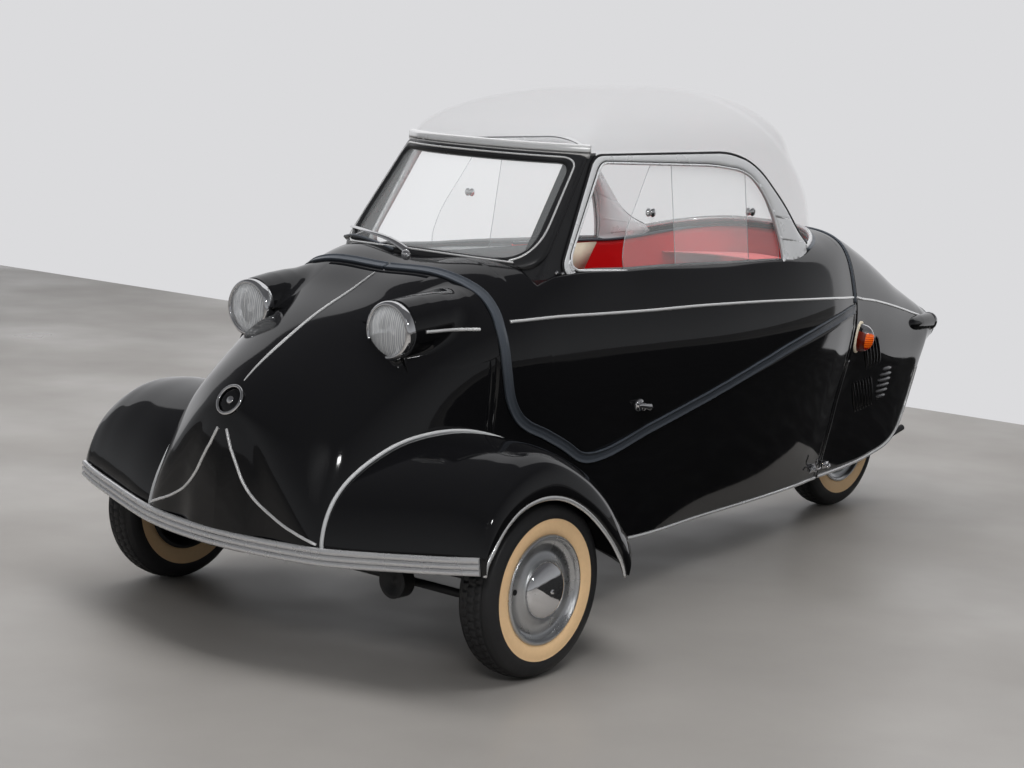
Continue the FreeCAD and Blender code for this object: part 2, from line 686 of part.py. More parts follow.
axle_left = [block(ear_back, ear_front, kingpin_y - 40, kingpin_y + 15, z, z + ear_t)
             for z in (ear_low, ear_high)]
axle_left.append(block(ear_back, ear_front, kingpin_y - 40, kingpin_y - knuckle_r - 6, ear_low, ear_top))
axle_left.append(rod(on_pin(ear_low), on_pin(ear_top), kingpin_r))
axle_left.append(rod((cowl_x, 150, axle_z), (front_axle_x, 150, axle_z), 16))
axle_left = fused(*axle_left)
cross_tube = rod((front_axle_x, -tube_end, axle_z), (front_axle_x, tube_end, axle_z), 20)
keep(fused(cross_tube, axle_left, mirrored(axle_left)), "front_axle")

# Knuckles: a sleeve on the kingpin, a spindle for the wheel, and an arm with an eye for the track rod
arm_reach, arm_low, arm_high = 95, 12, 4
eye_x, eye_low, eye_high = front_axle_x + arm_reach, axle_z - arm_low, axle_z + arm_high
inner_side = wheel_y - half_w
collar_y = inner_side + hub_start - size("side_gap")
sleeve = rod(on_pin(axle_z - knuckle_h / 2), on_pin(axle_z + knuckle_h / 2), knuckle_r)
spindle = rod(on_pin(axle_z), (front_axle_x, inner_side + hub_end - 3, axle_z), spindle_r)
collar = rod(on_pin(axle_z), (front_axle_x, collar_y, axle_z), spindle_r + 5)
arm = block(front_axle_x + 5, eye_x, kingpin_y - 5, kingpin_y + 5, eye_low, eye_high)
eye = rod((eye_x, kingpin_y, eye_low), (eye_x, kingpin_y, eye_high), 12)
bore = rod(on_pin(0), on_pin(axle_z * 2), kingpin_r + fit)
knuckle_left = cut(fused(sleeve, spindle, collar, arm, eye), bore)
keep(knuckle_left, "knuckle_left")
keep(mirrored(knuckle_left), "knuckle_right")

# Track rod under the eyes of the steering arms
track_r = 9
track_z = eye_low - 0.5 - track_r
keep(rod((eye_x, -kingpin_y, track_z), (eye_x, kingpin_y, track_z), track_r), "track_rod")

wall_x = cowl_x - hull_wall

# Steering: a shaft in a fixed column that slopes down through the front wall of the tub
column_top = V(along(628), 0, 668)
column_axis = V(1, 0, -1).normalize()
shaft_r, column_r = 10, 17
shaft_length, column_start, column_end = 600, 50, 470
bar_half, bar_grip, bar_rise, grip_r = 165, 95, 70, 11


def on_column(distance):
    return tuple(column_top + column_axis * distance)


column = cut(rod(on_column(column_start), on_column(column_end), column_r),
             rod(on_column(0), on_column(shaft_length), shaft_r + fit))
keep(column, "steering_column")
up = V(1, 0, 1).normalize()
BAR = [(-bar_half, bar_rise), (-bar_grip, bar_rise), (-60, 8),
       (60, 8), (bar_grip, bar_rise), (bar_half, bar_rise)]
bar_points = [tuple(column_top + V(0, y, 0) + up * rise) for y, rise in BAR]
bar_pieces = [rod(a, b, grip_r) for a, b in zip(bar_points, bar_points[1:])]
bar_pieces += [ball(point, grip_r) for point in bar_points[1:-1]]
shaft = rod(on_column(0), on_column(shaft_length), shaft_r)
clamp = rod(on_column(-18), on_column(40), 24)
keep(fused(shaft, clamp, *bar_pieces), "steering_bar")
column_hole = bar_shape(on_column(300), on_column(column_end), column_r)

# Dashboard on the front wall, bowed towards the driver
DASH = [(along(815), 610, 60), (wall_x, 610), (wall_x, 722), (along(815), 722)]
keep(slab(DASH, wide(235)), "dashboard")

# Pedals hang from the front wall; the gear lever stands on the floor at the driver's right
pedal_stem_r, pedal_half = 7, 30
pedals = []
for y in (-110, 0, 110):
    stem = rod((wall_x, y, 330), (wall_x - 70, y, 250), pedal_stem_r)
    plate = block(wall_x - 84, wall_x - 66, y - pedal_half, y + pedal_half, 205, 262)
    pedals.append(cut(fused(stem, plate), block(wall_x, wall_x + 50, y - 20, y + 20, 300, 360)))
keep(together(*pedals), "pedals")
floor_top = low_z + hull_wall
lever_y, lever_foot, lever_head = -215, (along(560), floor_top + 30), (along(520), 430)
lever = rod((lever_foot[0], lever_y, lever_foot[1]), (lever_head[0], lever_y, lever_head[1]), 7)
knob = ball((lever_head[0] - 2, lever_y, lever_head[1] + 10), 19)
lever_x = lever_foot[0]
lever_base = block(lever_x - 25, lever_x + 25, lever_y - 20, lever_y + 20, floor_top, floor_top + 34)
keep(fused(lever, knob, lever_base), "gear_lever")

# Seats: cushions with rounded edges on low frames
seat_half = size("seat_half")
rounding = 28
frame_top, rear_frame_top = 232, 242


def cushion(x0, x1, z0, z1, half):
    x0, x1 = along(x0), along(x1)
    return slab([(x0, z0), (x1, z0), (x1, z1), (x0, z1)], half, rounding)


front_cushion = cushion(110, 520, frame_top, 330, seat_half)
keep(fused(front_cushion, cushion(20, 130, 262, 680, seat_half - 5)), "front_seat")
keep(cushion(-420, -60, rear_frame_top, 340, seat_half - 10), "rear_seat")
keep(cushion(-515, -420.3, 262, 700, seat_half - 25), "rear_seat_back")
front_frame = cut(block(along(120), along(500), -150, 150, floor_top, frame_top),
                  block(along(140), along(480), -130, 130, floor_top, frame_top))
rear_frame = block(along(-410), along(-80), -130, 130, floor_top, rear_frame_top)
keep(together(front_frame, rear_frame), "seat_frames")

# Engine on the rear wall of the tub: a crankcase with a finned barrel
case_back, case_low, case_high = seam_x - 160, 235, 400
CASE = [(case_back, case_low), (seam_x, case_low), (seam_x, case_high), (case_back, case_high)]
case = slab(CASE, wide(140))
barrel_r, fin_r, fin_count, fin_pitch, fin_t = 44, 70, 5, 28, 7
FINS = [(0, -5), (barrel_r, -5)]
for k in range(fin_count):
    start = 10 + k * fin_pitch
    FINS += [(barrel_r, start), (fin_r, start), (fin_r, start + fin_t), (barrel_r, start + fin_t)]
FINS += [(barrel_r, 155), (0, 155)]
upright = FreeCAD.Rotation(V(0, 1, 0), V(0, 0, 1))
engine = fused(case, turned(FINS, "V_Axis", (seam_x - 80, 0, case_high), upright))
keep(engine, "engine")

# Rear fork, with the axle pin through the wheel's hub
pivot_x, pivot_z, fork_y = seam_x - 42, 200, 82
pivot_r, lug_half = 19, 13
fork_pieces = [rod((pivot_x, -100, pivot_z), (pivot_x, 100, pivot_z), pivot_r)]
for y in (-fork_y, fork_y):
    fork_pieces.append(rod((pivot_x, y, pivot_z), (rear_axle_x, y, axle_z), 15))
    fork_pieces.append(block(pivot_x, seam_x, y - lug_half, y + lug_half,
                             pivot_z - pivot_r, pivot_z + pivot_r))
fork_pieces.append(rod((rear_axle_x, -96, axle_z), (rear_axle_x, 96, axle_z), spindle_r))
keep(fused(*fork_pieces), "rear_fork")

# Silencer: down from the crankcase, back along the left of the wheel, and a tail pipe
pipe_r = 9
silencer = fused(rod((seam_x - 130, wide(122), case_low), (seam_x - 192, wide(122), 178), pipe_r),
                 rod((seam_x - 190, wide(122), 178), (along(-1130), wide(116), 200), pipe_r + 2),
                 rod((along(-870), wide(121), 190), (along(-1110), wide(116), 200), 17),
                 rod((along(-1110), wide(116), 200), (along(-1205), wide(120), 224), pipe_r))
keep(cut(silencer, engine), "silencer")

# Horn under the left of the nose, on a tab from the nose's lower edge
horn_x, horn_y, horn_z, horn_r = along(1140), wide(303), 178, 36
HORN = [(0, 0), (0, horn_r - 12), (10, horn_r), (42, horn_r), (42, horn_r - 6), (34, 10), (38, 0)]
tab = block(horn_x + 10, horn_x + 16, wide(292), wide(298), horn_z, skirt_z - 0.3)
keep(fused(turned(HORN, "H_Axis", (horn_x, horn_y, horn_z)), tab), "horn")

# Hinges: the tub's end barrels carry a pin, and the lid's middle barrel turns on it
hinge_r, pin_r, barrel, leaf_t, side_leaf = 6, 3, 18, 5, 8
arm_places = (-22, 14)  # the two arms of a hinge, along its pin
canopy_axis_y, canopy_axis_z = -(belt_half + 14), 694
tail_axis_x, tail_axis_z = seam_x - 1, 840
leaf_end = -belt_half + 30
tub_inside, tail_inside = held(tub_inner), held(tail_inner)


def hinge(centre, axis):
    # a lid's barrel with its bore, and the fixed barrels with their pin
    def piece(start, end, radius):
        ends = [tuple(place + step * reach for place, step in zip(centre, axis)) for reach in (start, end)]
        return rod(ends[0], ends[1], radius)
    half = barrel / 2
    fixed = [piece(-half - barrel, half + barrel, pin_r), piece(-half - barrel, -half - 1, hinge_r),
             piece(half + 1, half + barrel, hinge_r)]
    return piece(-half, half, hinge_r), fixed, piece(-barrel, barrel, pin_r + fit)


canopy_lids, tail_lids, tub_hinges = [], [], []
pin_y, pin_z = canopy_axis_y, canopy_axis_z
for x in (along(-60), along(400)):
    lid, fixed, lid_bore = hinge((x, pin_y, pin_z), (1, 0, 0))
    leaf = block(x - 9, x + 9, pin_y, leaf_end, pin_z + 8, pin_z + 13)
    leaf_foot = block(x - 9, x + 9, pin_y - 3, pin_y + 3, pin_z + 4, pin_z + 13)
    canopy_lids.append(cut(cut(fused(lid, leaf, leaf_foot), lid_bore), tub_inside))
    for place in arm_places:
        start, end = x + place, x + place + side_leaf
        fixed.append(block(start, end, pin_y, leaf_end, pin_z - 36, pin_z - 30))
        fixed.append(block(start, end, pin_y - 3, pin_y + 3, pin_z - 36, pin_z - 4))
    tub_hinges.append(cut(fused(*fixed), inside_form))
pin_x, pin_z = tail_axis_x, tail_axis_z
for y in (-80, 80):
    lid, fixed, lid_bore = hinge((pin_x, y, pin_z), (0, 1, 0))
    leaf = block(pin_x - 40, pin_x, y - 9, y + 9, pin_z - 11, pin_z - 3)
    leaf_foot = block(pin_x - 40, pin_x - 34, y - 9, y + 9, pin_z - 60, pin_z - 3)
    tail_lids.append(cut(cut(fused(lid, leaf, leaf_foot), lid_bore), tail_inside))
    for place in arm_places:
        start, end = y + place, y + place + side_leaf
        fixed.append(block(pin_x, seam_x + 10, start, end, pin_z - 3, pin_z + 3))
        fixed.append(block(seam_x + 4, seam_x + 10, start, end, pin_z - 25, pin_z + 3))
    tub_hinges.append(cut(fused(*fixed), inside_form))

# Cooling louvres in the tail cover: a slot behind each pressed lip. Rows of (count, first top, last top, first
# foot, last foot) as drawn (x, z), on both sides, and an oval grille of level slots on the left
LOUVRE_ROWS = [
    (5, (-731, 547), (-827, 535), (-807, 445), (-889, 454)),
    (7, (-736, 415), (-847, 420), (-802, 322), (-906, 330)),
]
GRILLE = {"x": -957, "z": 391, "half_length": 44, "half_height": 54, "slots": 6, "pitch": 16}
louvre_w, lip_r = size("louvre_width"), 4


def between(a, b, share):
    return tuple(p + (q - p) * share for p, q in zip(a, b))


def tail_side(x, z):
    # the outer face of the tail cover on the left, at (x, z)
    probe = line((x, 0, z), (x, belt_half * 2, z)).common(tail_outer)
    return (x, probe.BoundBox.YMax, z)


louvre_lines = []
for count, first_top, last_top, first_foot, last_foot in LOUVRE_ROWS:
    for k in range(count):
        share = k / (count - 1)
        top, foot = between(first_top, last_top, share), between(first_foot, last_foot, share)
        louvre_lines.append((top, foot, (1, -1)))
for k in range(GRILLE["slots"]):
    rise = (k - (GRILLE["slots"] - 1) / 2) * GRILLE["pitch"]
    reach = GRILLE["half_length"] * (1 - (rise / GRILLE["half_height"]) ** 2) ** 0.5
    z = GRILLE["z"] + rise
    louvre_lines.append(((GRILLE["x"] + reach, z), (GRILLE["x"] - reach, z), (1,)))
slots, lips = [], []
for top, foot, sides in louvre_lines:
    top, foot = (along(top[0]), top[1]), (along(foot[0]), foot[1])
    level = top[1] == foot[1]
    step = (0, -1) if level else (-1, 0)
    near, far = lip_r - 1, lip_r - 1 + louvre_w
    corners = [(end[0] + step[0] * reach, end[1] + step[1] * reach)
               for end, reach in ((top, near), (top, far), (foot, far), (foot, near))]
    start, end = tail_side(*top), tail_side(*foot)
    for side in sides:
        slots.append(prism_y(corners, side * 100, side * belt_half))
        lips.append(rod((start[0], side * start[1], start[2]), (end[0], side * end[1], end[2]), lip_r))

seam_gap_box = box_shape(seam_x - gap, seam_x + 650, -500, 500, 0, 1000)
tail_panel = tail_outer.cut(tail_inner).cut(seam_gap_box).cut(Part.makeCompound(slots))
keep(fused(held(tub_panel.cut(column_hole)), *tub_hinges), "tub")
keep(fused(held(canopy_panel), *canopy_lids), "canopy_shell")
keep(fused(held(tail_panel), *tail_lids, *lips), "tail_cover")

# Small pieces carried by the canopy and the tail cover
handle_x, handle_z = along(430), 486
handle = fused(rod((handle_x, wide(345), handle_z), (handle_x, wide(372), handle_z), 7),
               rod((handle_x - 25, wide(374), handle_z), (handle_x + 25, wide(374), handle_z), 6))
keep(cut(handle, tub_form), "door_handle")
wiper_foot, wiper_head = (along(866), 20, sill_z + 71), (along(742), -wide(170), sill_z + 140)
wiper = bar_shape((along(858), 20, sill_z + 35), (along(866), 20, sill_z + 73), 9)
wiper = wiper.fuse(bar_shape(wiper_foot, wiper_head, 4)).cut(tub_outer).cut(glass_outer)
keep(held(max(wiper.Solids, key=lambda piece: piece.Volume), "Wiper"), "wiper")
indicator = cut(egg((along(-700), wide(250), 549), 20, 33, 38), tail_form)
keep(together(indicator, mirrored(indicator)), "indicators")
pod_start, pod_end = (along(-1085), wide(166), 540), (along(-1306), wide(124), 535)
pod_lens = (along(-1318), wide(122), 535)
tail_lamp = bar_shape(pod_start, pod_end, 27).fuse(bar_shape(pod_end, pod_lens, 23)).cut(tail_outer)
tail_lamp = held(max(tail_lamp.Solids, key=lambda piece: piece.Volume), "TailLamp")
keep(together(tail_lamp, mirrored(tail_lamp)), "tail_lamps")
latch = cut(block(along(-700), along(-668), wide(175), wide(212), 178, 192), tail_form)
keep(together(latch, mirrored(latch)), "tail_latches")

doc.recompute()
for thing in doc.Objects:
    if "Invalid" in thing.State or "Error" in thing.State:
        raise RuntimeError("%s did not recompute" % thing.Label)
for feature in parts:
    if feature.Shape.isNull() or not feature.Shape.isValid():
        raise RuntimeError("%s has no valid shape" % feature.Label)

os.makedirs("parts", exist_ok=True)
for feature in parts:
    feature.Shape.exportStep("parts/%s.step" % feature.Label)
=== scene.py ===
import bmesh
import bpy
import numpy as np
from mathutils import Matrix


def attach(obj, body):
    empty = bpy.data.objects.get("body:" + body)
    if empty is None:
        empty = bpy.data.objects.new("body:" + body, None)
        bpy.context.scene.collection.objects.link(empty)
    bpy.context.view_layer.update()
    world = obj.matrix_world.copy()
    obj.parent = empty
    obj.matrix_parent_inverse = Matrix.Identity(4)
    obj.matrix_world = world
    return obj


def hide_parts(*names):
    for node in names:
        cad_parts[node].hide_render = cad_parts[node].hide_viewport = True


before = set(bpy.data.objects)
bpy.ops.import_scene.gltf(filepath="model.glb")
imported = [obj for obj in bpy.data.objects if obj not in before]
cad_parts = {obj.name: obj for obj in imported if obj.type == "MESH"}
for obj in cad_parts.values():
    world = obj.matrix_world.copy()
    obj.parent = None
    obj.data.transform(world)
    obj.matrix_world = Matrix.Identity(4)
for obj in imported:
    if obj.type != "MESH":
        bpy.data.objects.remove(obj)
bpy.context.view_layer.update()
mm = 0.001  # every shape below is worked out in millimetres
print("frame loaded")


# helpers

def rgb(red, green, blue):
    # screen colour 0-255 to the linear colour that a shader takes
    share = np.array([red, green, blue]) / 255
    return (*np.where(share < 0.04045, share / 12.92, ((share + 0.055) / 1.055) ** 2.4), 1)


def settle(node, **values):
    # values for a node's sockets; an underscore stands for the space in a socket's name
    for socket, value in values.items():
        node.inputs[socket.replace("_", " ")].default_value = value


def join(tree, *rows):
    # each row is a node with its output, then the node and the input that it feeds
    for source, output, target, entry in rows:
        tree.links.new(source.outputs[output], target.inputs[entry])


def newNodes(tree, *kinds):
    return [tree.nodes.new("ShaderNode" + kind) for kind in kinds]


def finish(name, color, rough=0.4, metal=0.0, coat=0.0, wear=0.25, mottle=0.08, scale=9.0, fine=14.0, **more):
    # roughness drifts with a slow noise and the tone with a finer one, both on object coordinates
    material = bpy.data.materials.new(name)
    material.use_nodes = True
    tree = material.node_tree
    shader = tree.nodes["Principled BSDF"]
    settle(shader, Base_Color=color, Roughness=rough, Metallic=metal, Coat_Weight=coat, Coat_Roughness=0.03, **more)
    place, slow, quick, spread, tone = newNodes(tree, "TexCoord", "TexNoise", "TexNoise", "MapRange", "Mix")
    tone.data_type = "RGBA"
    settle(slow, Scale=scale, Detail=4)
    settle(quick, Scale=scale * fine, Detail=3)
    settle(spread, From_Min=0.3, From_Max=0.7, To_Min=rough * (1 - wear), To_Max=rough * (1 + wear))
    settle(tone, A=(*(np.array(color[:3]) * (1 - mottle)), 1), B=color)
    join(tree, (place, "Object", slow, "Vector"), (place, "Object", quick, "Vector"), (slow, "Fac", spread, "Value"),
         (spread, "Result", shader, "Roughness"), (quick, "Fac", tone, "Factor"),
         (tone, "Result", shader, "Base Color"))
    return material


def bands(material, pitch, dark, pale, direction="Y"):
    # straight flutes painted as pale and dark stripes of light and shade: the tone follows a sine across the piece, one
    # wave per pitch in metres; at scale 1 the wave texture has a wave every 0.314 m
    tree = material.node_tree
    place, wave, tone = newNodes(tree, "TexCoord", "TexWave", "Mix")
    wave.bands_direction, tone.data_type = direction, "RGBA"
    settle(wave, Scale=0.314 / pitch)
    settle(tone, A=dark, B=pale)
    join(tree, (place, "Object", wave, "Vector"), (wave, "Fac", tone, "Factor"),
         (tone, "Result", tree.nodes["Principled BSDF"], "Base Color"))
    return material


def grain(material, scale, strength, distance=0.0005, detail=3):
    # fine noise on object coordinates into the bump
    tree = material.node_tree
    place, noise, bump = newNodes(tree, "TexCoord", "TexNoise", "Bump")
    settle(noise, Scale=scale, Detail=detail)
    settle(bump, Strength=strength, Distance=distance)
    join(tree, (place, "Object", noise, "Vector"), (noise, "Fac", bump, "Height"),
         (bump, "Normal", tree.nodes["Principled BSDF"], "Normal"))
    return material


def unit(vectors):
    return vectors / np.maximum(np.linalg.norm(vectors, axis=-1, keepdims=True), 1e-9)


def through(points, at, firstSlope=None):
    # smooth curve through the points of each row: a cubic on each span, and the slope at a point is the mean of the
    # two spans beside it, the shorter one counting more; at counts points along the row
    points = np.asarray(points, float)
    chord = np.linalg.norm(np.diff(points, axis=1), axis=2, keepdims=True) + 1e-6
    rise = np.diff(points, axis=1) / chord
    slope = np.empty_like(points)
    slope[:, 1:-1] = (rise[:, :-1] * chord[:, 1:] + rise[:, 1:] * chord[:, :-1]) / (chord[:, 1:] + chord[:, :-1])
    slope[:, 0] = 1.5 * rise[:, 0] - 0.5 * slope[:, 1] if firstSlope is None else firstSlope
    slope[:, -1] = 1.5 * rise[:, -1] - 0.5 * slope[:, -2]
    at = np.broadcast_to(at, (len(points), np.shape(at)[-1]))
    left = np.clip(at.astype(int), 0, points.shape[1] - 2)
    t = (at - left)[..., None]

    def pick(table, index):
        return np.take_along_axis(table, index[..., None], axis=1)
    span = pick(chord, left)
    return ((2 * t ** 3 - 3 * t ** 2 + 1) * pick(points, left) + (t ** 3 - 2 * t ** 2 + t) * span * pick(slope, left)
            + (3 * t ** 2 - 2 * t ** 3) * pick(points, left + 1) + (t ** 3 - t ** 2) * span * pick(slope, left + 1))


def evenSteps(line, count, closed=False):
    # a line, or a closed outline, as count points at even steps of length
    if closed:
        line = np.concatenate([line, line[:1]])
    run = np.concatenate([[0], np.cumsum(np.linalg.norm(np.diff(line, axis=0), axis=1))])
    want = np.linspace(0, run[-1], count, endpoint=not closed)
    return np.stack([np.interp(want, run, line[:, k]) for k in range(line.shape[1])], axis=1)


def pathThrough(points, count):
    # the smooth curve through three or more points, at even steps of length
    dense = through(np.asarray(points, float)[None], np.linspace(0, len(points) - 1, 40 * len(points)))[0]
    return evenSteps(dense, count)


def gridFaces(rows, columns, wrapRows=False, wrapColumns=False):
    i = np.arange(rows if wrapRows else rows - 1)[:, None]
    j = np.arange(columns if wrapColumns else columns - 1)[None, :]
    nextI, nextJ = (i + 1) % rows, (j + 1) % columns
    corners = [i * columns + j, nextI * columns + j, nextI * columns + nextJ, i * columns + nextJ]
    return np.stack(np.broadcast_arrays(*corners), axis=-1).reshape(-1, 4)


def meshOf(name, points, faces, materials, slots=None, smooth=True, weld=0.01):
    # points in millimetres; doubles closer than weld are merged
    mesh = bpy.data.meshes.new(name)
    mesh.from_pydata(np.asarray(points, float).reshape(-1, 3) * mm, [], [list(map(int, face)) for face in faces])
    for material in materials:
        mesh.materials.append(material)
    if slots is not None:
        mesh.polygons.foreach_set("material_index", np.asarray(slots, np.int32))
    mesh.polygons.foreach_set("use_smooth", np.full(len(mesh.polygons), smooth))
    if weld:
        build = bmesh.new()
        build.from_mesh(mesh)
        bmesh.ops.remove_doubles(build, verts=build.verts, dist=weld * mm)
        bmesh.ops.dissolve_degenerate(build, edges=build.edges, dist=1e-7)
        build.to_mesh(mesh)
        build.free()
    piece = bpy.data.objects.new(name, mesh)
    bpy.context.scene.collection.objects.link(piece)
    return piece


class Bag:
    # several grids gathered into one mesh
    def __init__(self):
        self.points, self.faces, self.slots, self.count = [], [], [], 0

    def add(self, points, faces, slot=0):
        points = np.asarray(points, float).reshape(-1, 3)
        self.points.append(points)
        self.faces += [[int(k) + self.count for k in face] for face in faces]
        self.slots += list(np.broadcast_to(slot, len(faces)))
        self.count += len(points)

    def grid(self, points, slot=0, flip=False, wrapRows=False, wrapColumns=False):
        faces = gridFaces(points.shape[0], points.shape[1], wrapRows, wrapColumns)
        self.add(points, faces[:, ::-1] if flip else faces, slot)

    def tube(self, points, slot=0, flip=False, closed=False):
        # rings of a carried profile, with both ends capped when the path is open
        self.grid(points, slot, flip, wrapRows=closed, wrapColumns=True)
        if not closed:
            first, last = np.arange(points.shape[1]), np.arange(points.shape[1])[::-1]
            for ring, order in ((points[0], last if flip else first), (points[-1], first if flip else last)):
                self.add(ring, [order], slot)

    def spin(self, centre, axis, profile, sides=64, slot=0):
        # a turned shape, its profile open at both ends
        self.grid(lathe(centre, axis, profile, sides), slot, wrapRows=True)

    def make(self, name, materials, smooth=True, weld=0.01):
        return meshOf(name, np.concatenate(self.points), self.faces, materials, self.slots, smooth, weld)


def carry(path, up, profile, closed=False):
    # profile (across, up) carried along the path: across is square to both the path and up
    path, profile = np.asarray(path, float), np.asarray(profile, float)
    ahead = np.roll(path, -1, 0) - np.roll(path, 1, 0) if closed else np.gradient(path, axis=0)
    ahead = unit(ahead)
    up = np.broadcast_to(up, path.shape)
    up = unit(up - (up * ahead).sum(1, keepdims=True) * ahead)
    across = np.cross(ahead, up)
    return path[:, None] + profile[None, :, :1] * across[:, None] + profile[None, :, 1:] * up[:, None]


def ellipse(width, height, sides=12, low=0.0):
    # closed oval, width across and height up, its middle at low
    turn = np.linspace(0, 2 * np.pi, sides, endpoint=False)
    return np.stack([width / 2 * np.cos(turn), low + height / 2 * np.sin(turn)], axis=1)


def lathe(centre, axis, profile, sides=64):
    # profile rows are (radius, distance along the axis), turned about the axis through the centre
    axis = unit(np.asarray(axis, float))
    helper = np.array([0, 0, 1.0]) if abs(axis[2]) < 0.9 else np.array([1.0, 0, 0])
    first = unit(np.cross(helper, axis))
    second = np.cross(axis, first)
    turn = np.linspace(0, 2 * np.pi, sides, endpoint=False)[:, None]
    radius, along = np.asarray(profile, float).T[:, None]
    along = np.broadcast_to(along, (sides, along.size))
    return (np.asarray(centre, float) + (radius * np.cos(turn))[..., None] * first
            + (radius * np.sin(turn))[..., None] * second + along[..., None] * axis)


def roundedLoop(corners, radii, steps=8):
    # closed outline in a plane: each corner is cut by a smooth bow that starts its radius away along both sides
    loop = []
    for k, corner in enumerate(corners):
        corner = np.asarray(corner, float)
        before, after = np.asarray(corners[k - 1], float), np.asarray(corners[(k + 1) % len(corners)], float)
        start, end = corner + unit(before - corner) * radii[k], corner + unit(after - corner) * radii[k]
        t = np.linspace(0, 1, steps)[:, None]
        loop.append((1 - t) ** 2 * start + 2 * t * (1 - t) * corner + t ** 2 * end)
    return np.concatenate(loop)


def thicken(piece, wall, offset=-1, inner=None, rim=None):
    solidify = piece.modifiers.new("wall", "SOLIDIFY")
    solidify.thickness, solidify.offset = wall * mm, offset
    solidify.use_even_offset = False
    if inner is not None:
        solidify.material_offset = inner
    if rim is not None:
        solidify.material_offset_rim = rim


def place(piece, body, slot, *nodes):
    if nodes:
        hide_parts(*nodes)
    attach(piece, body)
    return piece


def bothSides(points):
    return points * np.array([1, -1, 1])


# finishes

blackPaint = grain(finish("blackPaint", (0.0035, 0.0035, 0.004, 1), 0.05, wear=0.5, scale=5), 45, 0.12, 0.0002, 1)
redVinyl = grain(finish("redVinyl", rgb(186, 14, 18), 0.42), 900, 0.25, 0.0004)
redLight = grain(finish("redLight", rgb(196, 92, 92), 0.6), 900, 0.25, 0.0004)
creamTrim = grain(finish("creamTrim", rgb(214, 203, 182), 0.5), 700, 0.15, 0.0003)
pipingGrey = finish("pipingGrey", rgb(176, 177, 178), 0.4, wear=0.3, scale=20)
aluminium = finish("aluminium", (0.8, 0.8, 0.81, 1), 0.26, 0.8, wear=0.4, mottle=0.16, scale=14)
paleFrame = finish("paleFrame", rgb(214, 215, 217), 0.32, 0.3, wear=0.3, scale=14)
brightTrim = finish("brightTrim", (0.84, 0.84, 0.84, 1), 0.2, 0.72, wear=0.4, mottle=0.08, scale=14)
chrome = finish("chrome", (0.86, 0.86, 0.87, 1), 0.07, 1.0, wear=0.5, mottle=0.05, scale=12)
rubber = grain(finish("rubber", (0.04, 0.047, 0.058, 1), 0.36, mottle=0.2, scale=12), 420, 0.15, 0.0003)
sealBlack = grain(finish("sealBlack", (0.008, 0.008, 0.009, 1), 0.32, mottle=0.2, scale=12), 420, 0.1, 0.0003)
tyreBlack = grain(finish("tyreBlack", (0.012, 0.012, 0.013, 1), 0.55, mottle=0.3), 500, 0.2)
tanWall = grain(finish("tanWall", rgb(226, 190, 145), 0.55, mottle=0.12), 500, 0.12)
wheelSilver = finish("wheelSilver", (0.62, 0.63, 0.64, 1), 0.3, 1.0, wear=0.3, mottle=0.1, scale=18)
satinBlack = grain(finish("satinBlack", (0.018, 0.018, 0.02, 1), 0.45, wear=0.35, mottle=0.2), 260, 0.12, 0.0004)
castAlloy = grain(finish("castAlloy", (0.45, 0.45, 0.45, 1), 0.5, 0.9, mottle=0.2), 300, 0.3)
amberLens = bands(finish("amberLens", rgb(236, 92, 6), 0.15, coat=1.0), 0.006, rgb(196, 60, 2), rgb(246, 112, 12), "Z")
# darker amber for the part of the indicator lens next to the gasket: painted shade
amberPaintedShade = finish("amberPaintedShade", rgb(92, 20, 4), 0.2, coat=1.0)
redLens = bands(finish("redLens", rgb(150, 10, 8), 0.15, coat=1.0), 0.006, rgb(110, 5, 4), rgb(170, 14, 10), "Z")
# flat black for openings: painted shade in the louvre slots and the valve hole
holeShade = finish("holeShade", (0.003, 0.003, 0.003, 1), 0.8, mottle=0.3)
paneClear = finish("paneClear", (0.9, 0.93, 0.94, 1), 0.02, wear=0.6, mottle=0.03, scale=7, Alpha=0.08)
paneEdge = finish("paneEdge", (0.35, 0.37, 0.38, 1), 0.2, Alpha=0.7)
domeClear = finish("domeClear", (0.44, 0.445, 0.455, 1), 0.09, wear=0.4, mottle=0.05, scale=5, Alpha=0.08,
                   Specular_IOR_Level=0.3)
# headlamp glass and reflector: milky white half-clear glass and pale and dark stripes, painted light and shade of the
# fluted lens
fluteShade = (0.55, 0.57, 0.6, 1)
lampGlass = bands(finish("lampGlass", (0.97, 0.98, 0.98, 1), 0.04, Alpha=0.5), 0.0046, fluteShade, (1, 1, 1, 1))
reflector = bands(finish("reflector", (0.88, 0.89, 0.9, 1), 0.22, 0.25), 0.0053, fluteShade, (0.95, 0.96, 0.97, 1))
satinGrey = finish("satinGrey", (0.12, 0.12, 0.125, 1), 0.28, 0.6, scale=25)
endGrey = finish("endGrey", (0.05, 0.05, 0.052, 1), 0.3, 0.4, scale=20)
dialFace = finish("dialFace", (0.02, 0.02, 0.022, 1), 0.35)
print("finishes made")


# body surface

